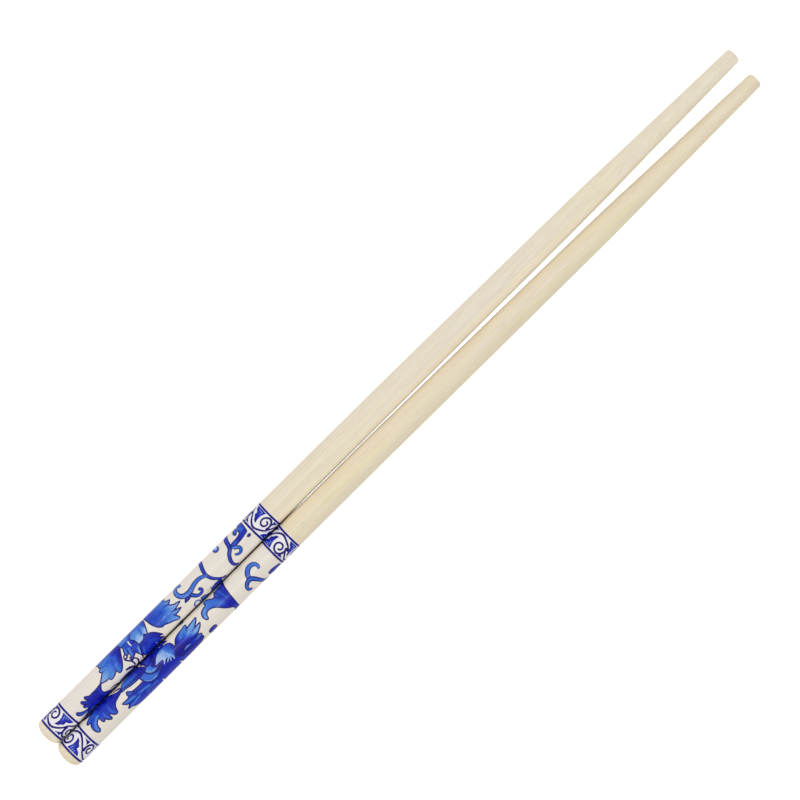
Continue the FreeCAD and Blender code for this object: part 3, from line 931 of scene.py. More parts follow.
@dataclass
class NodeSheet:
    """Adds nodes to a node tree and links them."""

    tree: bpy.types.NodeTree

    def add(self, kind: str, inputs: dict | None = None, **settings: object) -> bpy.types.Node:
        """Adds one node.

        Args:
            kind: The node's type.
            inputs: Value or source socket for each input, by name or number.
            **settings: The node's own settings.

        Returns:
            The node.
        """
        node = self.tree.nodes.new(kind)
        for name, value in settings.items():
            setattr(node, name, value)
        for name, value in (inputs or {}).items():
            if isinstance(value, bpy.types.NodeSocket):
                self.tree.links.new(value, node.inputs[name])
            else:
                node.inputs[name].default_value = value
        return node

    def math(self, operation: str, first: object, second: object = 0.0) -> bpy.types.NodeSocket:
        """Adds a math node and returns its result."""
        node = self.add("ShaderNodeMath", {0: first, 1: second}, operation=operation)
        return node.outputs[0]

    def mix(self, share: object, first: object, second: object) -> bpy.types.NodeSocket:
        """Adds a colour mix and returns its result."""
        node = self.add("ShaderNodeMix", {0: share, 6: first, 7: second}, data_type="RGBA")
        return node.outputs[2]

    def ramp(self, share: object, stops: tuple[tuple[float, Colour], ...],
             constant: bool = False) -> bpy.types.NodeSocket:
        """Adds a colour ramp.

        Args:
            share: Value or socket from 0 to 1 that picks the colour.
            stops: Place and colour of each stop, in order.
            constant: Whether each colour runs unchanged to the next stop.

        Returns:
            The colour.
        """
        node = self.add("ShaderNodeValToRGB", {0: share})
        ramp = node.color_ramp
        ramp.interpolation = "CONSTANT" if constant else "LINEAR"
        for index, (place, colour) in enumerate(stops):
            stop = ramp.elements[index] if index < 2 else ramp.elements.new(place)
            stop.position = place
            stop.color = colour
        return node.outputs[0]

    def fade(self, value: object, full: float, none: float) -> bpy.types.NodeSocket:
        """Adds a soft fall from one to zero.

        Args:
            value: Value or socket that it follows.
            full: The value at which the result is one.
            none: The value at which it is zero.

        Returns:
            The result.
        """
        node = self.add("ShaderNodeMapRange", {"Value": value, "From Min": full,
                                               "From Max": none, "To Min": 1.0, "To Max": 0.0},
                        interpolation_type="SMOOTHSTEP")
        return node.outputs[0]

    def noise(self, place: object, pattern: tuple[float, float], shift: float,
              detail: float = 2.0) -> bpy.types.NodeSocket:
        """Adds a noise that is finer across the stick than along it.

        Args:
            place: Place on the piece, in metres.
            pattern: How often it changes in a metre along the stick and in one across it.
            shift: How far it is slid, so that no two noises look alike.
            detail: How many finer layers it has.

        Returns:
            The noise, from 0 to 1.
        """
        along, across = pattern
        mapping = self.add("ShaderNodeMapping", {"Vector": place, "Scale": (along, across, across),
                                                 "Location": (shift, shift, shift)})
        node = self.add("ShaderNodeTexNoise", {"Vector": mapping.outputs[0], "Scale": 1.0,
                                               "Detail": detail, "Roughness": 0.55})
        return node.outputs[0]


@dataclass(frozen=True)
class GrainPattern:
    """How often each kind of streak comes in a metre along the stick and in one across it."""

    broad: tuple[float, float] = (15.0, 1900.0)
    second: tuple[float, float] = (10.0, 1250.0)
    fine: tuple[float, float] = (70.0, 7000.0)
    dashes: tuple[float, float] = (330.0, 6200.0)
    brushed: tuple[float, float] = (1700.0, 1700.0)
    clouded: tuple[float, float] = (260.0, 420.0)
    pores: tuple[float, float] = (0.0, 1700.0)


@dataclass(frozen=True)
class SeamShade:
    """Where the sticks shade or brighten each other: metres from full to none, and strengths.

    The line and the soft edge lie where the grips touch. The brink is the left shaft's side of
    the gap, given as the turn away from the side that faces the other stick, in radians.
    """

    line: tuple[float, float] = (0.00013, 0.00024)
    soft: tuple[float, float] = (0.0002, 0.0009)
    soft_strength: float = 0.07
    grip_end: tuple[float, float] = (0.079, 0.083)
    brink: tuple[float, float] = (0.265, 0.39)
    brink_end: tuple[float, float] = (0.1, 0.135)
    brink_strength: float = 0.62
    facing: tuple[float, float] = (0.0009, 0.003)
    facing_lift: float = 0.05
    more_lift_on_left: float = 0.11
    brown: Colour = srgb(30, 18, 14)


GRAIN = GrainPattern()
SEAM = SeamShade()


class SharedGroups:
    """The node groups that several finishes use, each built once."""

    def __init__(self) -> None:
        """Builds the groups."""
        self.grain = self._grain()
        self.wash = self._wash()
        self.seam = self._seam()

    @staticmethod
    def _group(name: str, inputs: Sockets, outputs: Sockets,
               ) -> tuple[NodeSheet, bpy.types.NodeOutputs, bpy.types.NodeInputs]:
        """Makes an empty group with its sockets.

        Args:
            name: The group's name.
            inputs: Name and type of each input.
            outputs: Name and type of each output.

        Returns:
            The group's node sheet, what it is given and what is taken from it.
        """
        tree = bpy.data.node_groups.new(name, "ShaderNodeTree")
        for label, kind in inputs:
            tree.interface.new_socket(label, in_out="INPUT", socket_type=kind)
        for label, kind in outputs:
            tree.interface.new_socket(label, in_out="OUTPUT", socket_type=kind)
        sheet = NodeSheet(tree)
        given = sheet.add("NodeGroupInput").outputs
        taken = sheet.add("NodeGroupOutput").inputs
        return sheet, given, taken

    def _grain(self) -> bpy.types.NodeTree:
        """Lengthwise bamboo grain: pale, yellow and pink streaks, fine fibres and short dashes.

        Returns:
            The group.
        """
        sheet, given, taken = self._group("lengthwise_grain", (
            ("Place", "NodeSocketVector"), ("Pale", "NodeSocketColor"),
            ("Yellow", "NodeSocketColor"), ("Pink", "NodeSocketColor"),
            ("Dash", "NodeSocketColor"),
        ), (("Color", "NodeSocketColor"), ("Height", "NodeSocketFloat")))
        place = given["Place"]
        broad = sheet.noise(place, GRAIN.broad, 3.1)
        second = sheet.noise(place, GRAIN.second, 17.3)
        fine = sheet.noise(place, GRAIN.fine, 5.7, 3.0)
        dashes = sheet.noise(place, GRAIN.dashes, 41.0, 1.0)
        yellow = sheet.ramp(broad, ((0.38, BLACK), (0.62, WHITE)))
        pink = sheet.ramp(second, ((0.46, BLACK), (0.68, WHITE)))
        dash = sheet.ramp(dashes, ((0.62, BLACK), (0.74, WHITE)))
        colour = sheet.mix(sheet.math("MULTIPLY", yellow, 0.85), given["Pale"], given["Yellow"])
        colour = sheet.mix(sheet.math("MULTIPLY", pink, 0.7), colour, given["Pink"])
        fibre = sheet.math("MULTIPLY", sheet.math("SUBTRACT", fine, 0.42), 0.9)
        colour = sheet.mix(sheet.math("MAXIMUM", fibre, 0.0), colour, given["Dash"])
        colour = sheet.mix(sheet.math("MULTIPLY", dash, 0.3), colour, given["Dash"])
        sheet.tree.links.new(colour, taken["Color"])
        sheet.tree.links.new(fine, taken["Height"])
        return sheet.tree

    def _seam(self) -> bpy.types.NodeTree:
        """Brown shade where the two grips touch, and along the left shaft beside the gap.

        The sides that face each other are a little lighter, as one stick lights the other.

        Returns:
            The group.
        """
        sheet, given, taken = self._group("seam_shade", (
            ("Place", "NodeSocketVector"), ("Toward", "NodeSocketFloat"),
            ("Reach", "NodeSocketFloat"),
            ("Color", "NodeSocketColor"), ("Shade", "NodeSocketColor"),
        ), (("Color", "NodeSocketColor"),))
        along, aside, height = sheet.add("ShaderNodeSeparateXYZ", {0: given["Place"]}).outputs
        across = sheet.math("MULTIPLY", aside, given["Toward"])
        gap = sheet.math("SUBTRACT", given["Reach"], across)
        on_left = sheet.math("LESS_THAN", given["Toward"], 0.0)
        on_grip = sheet.fade(along, *SEAM.grip_end)
        soft = sheet.math("MULTIPLY", sheet.fade(gap, *SEAM.soft), SEAM.soft_strength)
        touching = sheet.math("MAXIMUM", sheet.fade(gap, *SEAM.line), soft)
        turn = sheet.math("ARCTAN2", sheet.math("ABSOLUTE", height), across)
        on_shaft = sheet.math("MULTIPLY", sheet.fade(along, *SEAM.brink_end),
                              sheet.math("SUBTRACT", 1.0, on_grip))
        near_gap = sheet.math("MULTIPLY", on_shaft, sheet.fade(turn, *SEAM.brink))
        brink = sheet.math("MULTIPLY", near_gap,
                           sheet.math("MULTIPLY", on_left, SEAM.brink_strength))
        mask = sheet.math("MAXIMUM", sheet.math("MULTIPLY", touching, on_grip), brink)
        lift = sheet.math("ADD", sheet.math("MULTIPLY", on_left, SEAM.more_lift_on_left),
                          SEAM.facing_lift)
        factor = sheet.math("ADD", sheet.math("MULTIPLY", sheet.fade(gap, *SEAM.facing), lift), 1.0)
        lighter = sheet.add("ShaderNodeVectorMath", {0: given["Color"], "Scale": factor},
                            operation="SCALE")
        sheet.tree.links.new(sheet.mix(mask, lighter.outputs[0], given["Shade"]), taken["Color"])
        return sheet.tree

    def _wash(self) -> bpy.types.NodeTree:
        """Cobalt wash: the colour of each tone, a little uneven as brushed ink is.

        Returns:
            The group.
        """
        sheet, given, taken = self._group("cobalt_wash", (
            ("Tone", "NodeSocketFloat"), ("Place", "NodeSocketVector"),
        ), (("Color", "NodeSocketColor"),))
        cloud = sheet.noise(given["Place"], GRAIN.brushed, 2.0, 3.0)
        uneven = sheet.math("MULTIPLY", sheet.math("SUBTRACT", cloud, 0.5), 0.2)
        body = sheet.math("MINIMUM", sheet.math("MULTIPLY", given["Tone"], 4.0), 1.0)
        tone = sheet.math("ADD", given["Tone"], sheet.math("MULTIPLY", uneven, body))
        colour = sheet.ramp(tone, (
            (0.0, srgb(24, 16, 112)), (0.11, srgb(14, 20, 158)), (0.28, srgb(26, 54, 182)),
            (0.5, srgb(50, 104, 204)), (0.68, srgb(92, 144, 216)), (0.85, srgb(156, 184, 228)),
            (1.0, srgb(214, 222, 240)),
        ))
        sheet.tree.links.new(colour, taken["Color"])
        return sheet.tree


@dataclass(frozen=True)
class BambooFinish:
    """Bare sanded bamboo with its lengthwise grain.

    The pores of the end grain show within butt_end and tip_end, in metres, of the two ends.
    """

    name: str
    pale: Colour
    yellow: Colour
    pink: Colour
    dash: Colour = srgb(186, 164, 128)
    roughness: float = 0.55
    specular: float = 0.3
    butt_end: float = 0.00039
    tip_end: float = 0.00013

    def colour(self, sheet: NodeSheet, groups: SharedGroups, place: bpy.types.NodeSocket,
               ) -> tuple[bpy.types.NodeSocket, bpy.types.NodeSocket]:
        """Adds the grain.

        Args:
            sheet: The material's node sheet.
            groups: The shared node groups.
            place: Place measured from the stick's butt and axis.

        Returns:
            The grain's colour and its height.
        """
        grain = sheet.add("ShaderNodeGroup", node_tree=groups.grain)
        sheet.tree.links.new(place, grain.inputs["Place"])
        for socket, value in (("Pale", self.pale), ("Yellow", self.yellow),
                              ("Pink", self.pink), ("Dash", self.dash)):
            grain.inputs[socket].default_value = value
        return grain.outputs["Color"], grain.outputs["Height"]

    def material(self, groups: SharedGroups, lie: Lie) -> bpy.types.Material:
        """The material for one stick.

        Args:
            groups: The shared node groups.
            lie: Where the stick lies.

        Returns:
            The material.
        """
        material, sheet, shader = new_material(self.name, self.roughness)
        shader.inputs["Specular IOR Level"].default_value = self.specular
        place = centred_place(sheet, lie)
        colour, height = self.colour(sheet, groups, place)
        pore_along, pore_across = GRAIN.pores
        pores = sheet.add("ShaderNodeTexVoronoi", {"Scale": 1.0, "Vector": sheet.add(
            "ShaderNodeMapping", {"Vector": place, "Scale": (pore_along, pore_across, pore_across)},
        ).outputs[0]})
        pore = sheet.ramp(pores.outputs["Distance"], ((0.12, WHITE), (0.3, BLACK)))
        along = sheet.add("ShaderNodeSeparateXYZ", {0: place}).outputs[0]
        at_butt = sheet.math("LESS_THAN", along, self.butt_end)
        at_tip = sheet.math("GREATER_THAN", along, lie.tip_x - lie.butt_x - self.tip_end)
        end = sheet.math("MAXIMUM", at_butt, at_tip)
        share = sheet.math("MULTIPLY", sheet.math("MULTIPLY", pore, end), 0.5)
        colour = sheet.mix(share, colour, self.dash)
        bump = sheet.add("ShaderNodeBump", {"Height": height, "Strength": 0.25,
                                            "Distance": 0.00004})
        colour = shade_seam(sheet, groups, lie, place, colour)
        sheet.tree.links.new(colour, shader.inputs["Base Color"])
        sheet.tree.links.new(bump.outputs[0], shader.inputs["Normal"])
        return material


@dataclass(frozen=True)
class FilmFinish:
    """Glossy printed film: an ivory ground, whiter in the bands, and clear at its two ends.

    The widths of the bands and of the clear ends are in millimetres.
    """

    name: str
    bamboo: BambooFinish
    ground: Colour = srgb(229, 224, 217)
    ground_shade: Colour = srgb(226, 219, 212)
    band: Colour = srgb(234, 233, 240)
    roughness: float = 0.32
    coat_roughness: float = 0.09
    see_through: float = 0.22
    butt_clear: float = 0.2
    butt_band: float = 6.4
    shaft_band: float = 6.2
    shaft_clear: float = 1.4

    def material(self, groups: SharedGroups, lie: Lie) -> bpy.types.Material:
        """The material for one film.

        Args:
            groups: The shared node groups.
            lie: Where the stick lies.

        Returns:
            The material.
        """
        material, sheet, shader = new_material(self.name, self.roughness, self.coat_roughness)
        coordinates = sheet.add("ShaderNodeTexCoord")
        along = sheet.add("ShaderNodeSeparateXYZ", {0: coordinates.outputs["Object"]}).outputs[0]
        length = lie.film_end_x - lie.film_start_x
        share = sheet.math("DIVIDE", sheet.math("SUBTRACT", along, lie.film_start_x), length)
        butt_clear = self.butt_clear * MM / length
        butt_band = butt_clear + self.butt_band * MM / length
        shaft_clear = 1 - self.shaft_clear * MM / length
        shaft_band = shaft_clear - self.shaft_band * MM / length
        in_band = sheet.ramp(share, ((0.0, WHITE), (butt_band, BLACK), (shaft_band, WHITE)), True)
        clear = sheet.ramp(share, ((0.0, WHITE), (butt_clear, BLACK), (shaft_clear, WHITE)), True)
        place = centred_place(sheet, lie)
        cloud = sheet.noise(place, GRAIN.clouded, 9.0, 3.0)
        ground = sheet.mix(cloud, self.ground, self.ground_shade)
        grain, height = self.bamboo.colour(sheet, groups, place)
        colour = sheet.mix(in_band, ground, self.band)
        colour = sheet.mix(self.see_through, colour, grain)
        colour = sheet.mix(clear, colour, grain)
        colour = shade_seam(sheet, groups, lie, place, colour)
        bump = sheet.add("ShaderNodeBump", {"Height": height, "Strength": 0.06,
                                            "Distance": 0.00002})
        sheet.tree.links.new(colour, shader.inputs["Base Color"])
        sheet.tree.links.new(bump.outputs[0], shader.inputs["Normal"])
        return material


@dataclass(frozen=True)
class InkFinish:
    """Glossy cobalt print, its tone read from the piece or even all over."""

    name: str
    even_tone: float | None = None
    roughness: float = 0.32
    coat_roughness: float = 0.09

    def material(self, groups: SharedGroups, lie: Lie) -> bpy.types.Material:
        """The material for one piece of print.

        Args:
            groups: The shared node groups.
            lie: Where the stick lies.

        Returns:
            The material.
        """
        material, sheet, shader = new_material(self.name, self.roughness, self.coat_roughness)
        place = centred_place(sheet, lie)
        wash = sheet.add("ShaderNodeGroup", node_tree=groups.wash)
        sheet.tree.links.new(place, wash.inputs["Place"])
        if self.even_tone is None:
            tone = sheet.add("ShaderNodeAttribute", attribute_name="wash").outputs["Fac"]
            sheet.tree.links.new(tone, wash.inputs["Tone"])
        else:
            wash.inputs["Tone"].default_value = self.even_tone
        colour = shade_seam(sheet, groups, lie, place, wash.outputs["Color"])
        sheet.tree.links.new(colour, shader.inputs["Base Color"])
        return material


def new_material(name: str, roughness: float, coat_roughness: float | None = None,
                 ) -> tuple[bpy.types.Material, NodeSheet, bpy.types.Node]:
    """An empty material with its shader.

    Args:
        name: The material's name.
        roughness: Roughness of the surface.
        coat_roughness: Roughness of the clear gloss over it, or None where it has none.

    Returns:
        The material, its node sheet and its shader.
    """
    material = bpy.data.materials.new(name)
    material.use_nodes = True
    material.node_tree.nodes.clear()
    sheet = NodeSheet(material.node_tree)
    shader = sheet.add("ShaderNodeBsdfPrincipled", {"Roughness": roughness})
    if coat_roughness is not None:
        shader.inputs["Specular IOR Level"].default_value = 0.0
        shader.inputs["Coat Weight"].default_value = 1.0
        shader.inputs["Coat IOR"].default_value = COAT_IOR
        shader.inputs["Coat Roughness"].default_value = coat_roughness
    sheet.add("ShaderNodeOutputMaterial", {"Surface": shader.outputs[0]})
    return material, sheet, shader


def centred_place(sheet: NodeSheet, lie: Lie) -> bpy.types.NodeSocket:
    """Adds Object coordinates measured from the stick's butt and axis.

    Args:
        sheet: The material's node sheet.
        lie: Where the stick lies.

    Returns:
        The place.
    """
    coordinates = sheet.add("ShaderNodeTexCoord")
    mapping = sheet.add("ShaderNodeMapping", {
        "Vector": coordinates.outputs["Object"],
        "Location": (-lie.butt_x, -lie.axis_y, -lie.axis_z)})
    return mapping.outputs[0]


def shade_seam(sheet: NodeSheet, groups: SharedGroups, lie: Lie, place: bpy.types.NodeSocket,
               colour: bpy.types.NodeSocket) -> bpy.types.NodeSocket:
    """Lays the shade of the seam over a colour.

    Args:
        sheet: The material's node sheet.
        groups: The shared node groups.
        lie: Where the stick lies.
        place: Place measured from the stick's butt and axis.
        colour: The colour there so far.

    Returns:
        The colour with the shade over it.
    """
    seam = sheet.add("ShaderNodeGroup", node_tree=groups.seam)
    sheet.tree.links.new(place, seam.inputs["Place"])
    sheet.tree.links.new(colour, seam.inputs["Color"])
    seam.inputs["Toward"].default_value = -1.0 if lie.side is Side.LEFT else 1.0
    seam.inputs["Reach"].default_value = abs(lie.axis_y)
    seam.inputs["Shade"].default_value = SEAM.brown
    return seam.outputs["Color"]


def deselect_all() -> None:
    """Deselects every object."""
    if bpy.context.object and bpy.context.object.mode != "OBJECT":
        bpy.ops.object.mode_set(mode="OBJECT")
    bpy.ops.object.select_all(action="DESELECT")


def add_ring(name: str, x: float, lie: Lie, radius: float, sides: int,
             fill: str = "NOTHING") -> bpy.types.Object:
    """Adds a circle across a stick and opens it in edit mode, all selected.

    Args:
        name: The piece's name.
        x: Where the circle stands along X.
        lie: Where the stick lies.
        radius: The circle's radius.
        sides: How many sides it has.
        fill: How it is filled.

    Returns:
        The new piece.
    """
    deselect_all()
    bpy.ops.mesh.primitive_circle_add(
        vertices=sides, radius=radius, fill_type=fill, location=(x, lie.axis_y, lie.axis_z),
        rotation=(0, math.pi / 2, 0))
    piece = bpy.context.object
    piece.name = name
    piece.data.name = name
    bpy.ops.object.transform_apply(location=True, rotation=True, scale=True)
    bpy.ops.object.mode_set(mode="EDIT")
    bpy.ops.mesh.select_all(action="SELECT")
    return piece


def hand_over(piece: bpy.types.Object, material: bpy.types.Material,
              node: str) -> None:
    """Gives a finished piece its material and body, and hides the node that it replaces.

    Args:
        piece: The piece.
        material: Its material.
        node: The node that it replaces.
    """
    piece.data.materials.clear()
    piece.data.materials.append(material)
    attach(piece, "root")
    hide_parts(node)
    log.info("%s: %d faces", piece.name, len(piece.data.polygons))


@dataclass
class BambooStick:
    """One turned bamboo stick, in metres: domed butt, round grip and tapering shaft."""

    lie: Lie
    grip_length: float = 0.108
    grip_radius: float = 0.00355
    grip_middle: float = 0.06
    waist: tuple[float, float] = (0.148, 0.003375)
    shoulder: tuple[float, float] = (0.188, 0.0031)
    neck: tuple[float, float] = (0.208, 0.002625)
    tip_radius: float = 0.001975
    butt_dome: float = 0.0017
    tip_dome: float = 0.00075
    tip_flat: float = 0.35
    station_step: float = 0.004
    sides: int = 96

    def stations(self) -> list[tuple[float, float]]:
        """Distance from the butt and radius of each cross section.

        Returns:
            The cross sections, from the butt to the tip.
        """
        length = self.lie.tip_x - self.lie.butt_x
        found = []
        for angle in range(8, 90, 9):
            share = math.radians(angle)
            found.append((self.butt_dome * (1 - math.cos(share)),
                          self.grip_radius * math.sin(share)))
        found.append((self.butt_dome, self.grip_radius))
        known = [(self.butt_dome, self.grip_radius), (self.grip_middle, self.grip_radius),
                 (self.grip_length, self.grip_radius), self.waist, self.shoulder, self.neck,
                 (length - self.tip_dome, self.tip_radius)]
        line = smooth_line(tuple((x / MM, r / MM) for x, r in known), self.station_step / MM)
        found.extend((x * MM, r * MM) for x, r in line[1:])
        for angle in range(15, 90, 15):
            share = math.radians(angle)
            found.append((length - self.tip_dome * (1 - math.sin(share)),
                          self.tip_radius * (self.tip_flat
                                             + (1 - self.tip_flat) * math.cos(share))))
        return found

    def build(self) -> bpy.types.Object:
        """Models the stick from a disc at its butt, drawn out along its length.

        Returns:
            The stick.
        """
        stations = self.stations()
        lie = self.lie
        taper = lie.tip_x - lie.butt_x - self.grip_length
        x, radius = stations[0]
        piece = add_ring("bamboo_" + lie.side.value, lie.butt_x + x, lie, radius, self.sides,
                         "TRIFAN")
        aside = 0.0
        for distance, next_radius in stations[1:]:
            share = max(0.0, (distance - self.grip_length) / taper)
            step_aside = lie.drift * share - aside
            aside += step_aside
            bpy.ops.mesh.extrude_region_move(
                TRANSFORM_OT_translate={"value": (distance - x, -step_aside, 0)})
            bpy.ops.transform.resize(
                value=(1, next_radius / radius, next_radius / radius),
                center_override=(lie.butt_x + distance, lie.axis_y - aside, lie.axis_z))
            x, radius = distance, next_radius
        bpy.ops.mesh.select_all(action="SELECT")
        bpy.ops.mesh.remove_doubles(threshold=1e-7)
        bpy.ops.mesh.normals_make_consistent(inside=False)
        bpy.ops.object.mode_set(mode="OBJECT")
        bpy.ops.object.shade_smooth_by_angle(angle=math.radians(50))
        return piece

    def dress(self, piece: bpy.types.Object, finish: BambooFinish, groups: SharedGroups) -> None:
        """Gives the stick its finish."""
        hand_over(piece, finish.material(groups, self.lie),
                  "chopstick_" + self.lie.side.value)


@dataclass
class Sleeve:
    """A thin closed ring round the grip, such as the film or a border line, in metres."""

    lie: Lie
    start: float
    length: float
    inner_radius: float
    outer_radius: float
    steps: int
    edge: float
    sides: int = 160

    def build(self, name: str) -> bpy.types.Object:
        """Models the ring from a circle that is drawn out and given its wall.

        Args:
            name: The piece's name.

        Returns:
            The ring.
        """
        piece = add_ring(name, self.start, self.lie, self.outer_radius, self.sides)
        for _ in range(self.steps):
            bpy.ops.mesh.extrude_region_move(
                TRANSFORM_OT_translate={"value": (self.length / self.steps, 0, 0)})
        bpy.ops.mesh.select_all(action="SELECT")
        bpy.ops.mesh.normals_make_consistent(inside=False)
        bpy.ops.object.mode_set(mode="OBJECT")
        wall = piece.modifiers.new("wall", "SOLIDIFY")
        wall.thickness = self.outer_radius - self.inner_radius
        wall.offset = -1.0
        bpy.ops.object.modifier_apply(modifier=wall.name)
        rounding = piece.modifiers.new("rounding", "BEVEL")
        rounding.width = self.edge
        rounding.segments = 2
        rounding.limit_method = "ANGLE"
        bpy.ops.object.modifier_apply(modifier=rounding.name)
        bpy.ops.object.shade_smooth_by_angle(angle=math.radians(40))
        return piece


@dataclass
class PrintedGrip:
    """The film round one grip with its border lines and its dark and pale print."""

    lie: Lie
    sheet: PrintSheet
    wall: float = 0.00004
    ink_height: float = 0.00003
    line_starts: tuple[float, ...] = (0.0023, 0.00815, 0.0727, 0.07835)
    line_width: float = 0.00055
    line_edge: float = 0.000015
    line_tone: float = 0.02

    def build_film(self) -> bpy.types.Object:
        """Models the film.

        Returns:
            The film.
        """
        lie = self.lie
        return Sleeve(lie, lie.film_start_x, lie.film_end_x - lie.film_start_x,
                      lie.film_radius - self.wall, lie.film_radius, 40,
                      edge=self.wall / 4).build("film_" + lie.side.value)

    def build_lines(self) -> bpy.types.Object:
        """Models the four border lines and joins them.

        Returns:
            The lines as one piece.
        """
        lie = self.lie
        rings = []
        for number, start in enumerate(self.line_starts):
            ring = Sleeve(lie, lie.butt_x + start, self.line_width, lie.film_radius,
                          lie.line_radius, 2, edge=self.line_edge)
            rings.append(ring.build(f"border_line_{number}"))
        deselect_all()
        for ring in rings:
            ring.select_set(True)
        bpy.context.view_layer.objects.active = rings[0]
        bpy.ops.object.join()
        piece = bpy.context.object
        piece.name = "border_line_rings_" + lie.side.value
        return piece

    def build_print(self, ink: Ink) -> bpy.types.Object:
        """Models all the marks of one ink as thin closed fields on the film.

        Args:
            ink: The part of the print.

        Returns:
            The fields, with their tone as an attribute.
        """
        cells = np.array(self.sheet.cells[ink])
        tones = np.array(self.sheet.tones[ink]).reshape(-1, 3)
        used, local = np.unique(cells.ravel(), return_inverse=True)
        local = local.reshape(-1, 3)
        flat = self.sheet.places[used]
        count = len(used)
        top = self.lie.wrap(flat, self.lie.film_radius + self.ink_height)
        foot = self.lie.wrap(flat, self.lie.film_radius)
        outward = top - np.column_stack((top[:, 0], np.full(count, self.lie.axis_y),
                                         np.full(count, self.lie.axis_z)))
        outward /= np.linalg.norm(outward, axis=1)[:, None]
        first, second, third = (top[local[:, k]] for k in range(3))
        facing = np.cross(second - first, third - first)
        turned = np.einsum("ij,ij->i", facing, outward[local[:, 0]]) < 0
        local[turned] = local[turned][:, ::-1]
        tones[turned] = tones[turned][:, ::-1]
        sides = np.concatenate([local[:, (0, 1)], local[:, (1, 2)], local[:, (2, 0)]])
        known = set(map(tuple, sides.tolist()))
        rim = [(a, b) for a, b in sides.tolist() if (b, a) not in known]
        faces = local.tolist()
        faces += (local[:, ::-1] + count).tolist()
        faces += [(b, a, a + count, b + count) for a, b in rim]
        name = f"{ink.value}_brushwork_{self.lie.side.value}"
        mesh = bpy.data.meshes.new(name)
        mesh.from_pydata(np.concatenate((top, foot)).tolist(), [], faces)
        values = np.zeros(len(mesh.loops), np.float32)
        values[:tones.size] = tones.ravel()
        values[tones.size:2 * tones.size] = tones[:, ::-1].ravel()
        by_edge = {}
        for corner, edge_tones in zip(local.tolist(), tones.tolist()):
            for k in range(3):
                by_edge[(corner[k], corner[(k + 1) % 3])] = (edge_tones[k], edge_tones[(k + 1) % 3])
        walls = [(by_edge[e][1], by_edge[e][0], by_edge[e][0], by_edge[e][1]) for e in rim]
        values[2 * tones.size:] = np.array(walls).ravel()
        wash = mesh.attributes.new("wash", "FLOAT", "CORNER")
        wash.data.foreach_set("value", values)
        smooth = np.zeros(len(faces), bool)
        smooth[:2 * len(local)] = True
        mesh.polygons.foreach_set("use_smooth", smooth)
        normals = np.zeros((len(mesh.loops), 3))
        normals[:tones.size] = outward[local.ravel()]
        normals[tones.size:2 * tones.size] = -outward[local[:, ::-1].ravel()]
        mesh.normals_split_custom_set(normals.tolist())
        piece = bpy.data.objects.new(name, mesh)
        bpy.context.scene.collection.objects.link(piece)
        return piece

    def build_and_dress(self, film: FilmFinish, groups: SharedGroups) -> None:
        """Models every piece on the grip and gives each its finish.

        Args:
            film: The film's finish.
            groups: The shared node groups.
        """
        side = self.lie.side.value
        hand_over(self.build_film(), film.material(groups, self.lie),
                  "printed_film_" + side)
        lines = InkFinish("border_line_ink_" + side, even_tone=self.line_tone)
        hand_over(self.build_lines(), lines.material(groups, self.lie),
                  "border_lines_" + side)
        for ink in (Ink.DARK, Ink.PALE):
            finish = InkFinish(f"{ink.value}_ink_{side}")
            hand_over(self.build_print(ink), finish.material(groups, self.lie),
                      f"{ink.value}_print_{side}")


@dataclass(frozen=True)
class Panel:
    """A soft rectangular lamp that hangs over the pair and is turned towards it."""

    name: str
    length: float
    width: float
    height: float
    power: float
    place: Point = (0.0, 0.0)

    def hang(self) -> None:
        """Hangs the lamp."""
        light = bpy.data.lights.new(self.name, "AREA")
        light.shape = "RECTANGLE"
        light.size = self.length
        light.size_y = self.width
        light.energy = self.power
        lamp = bpy.data.objects.new(self.name, light)
        lamp.location = (*self.place, self.height)
        lamp.rotation_euler = (-math.atan2(self.place[1], self.height), 0, 0)
        lamp.visible_camera = False
        bpy.context.scene.collection.objects.link(lamp)


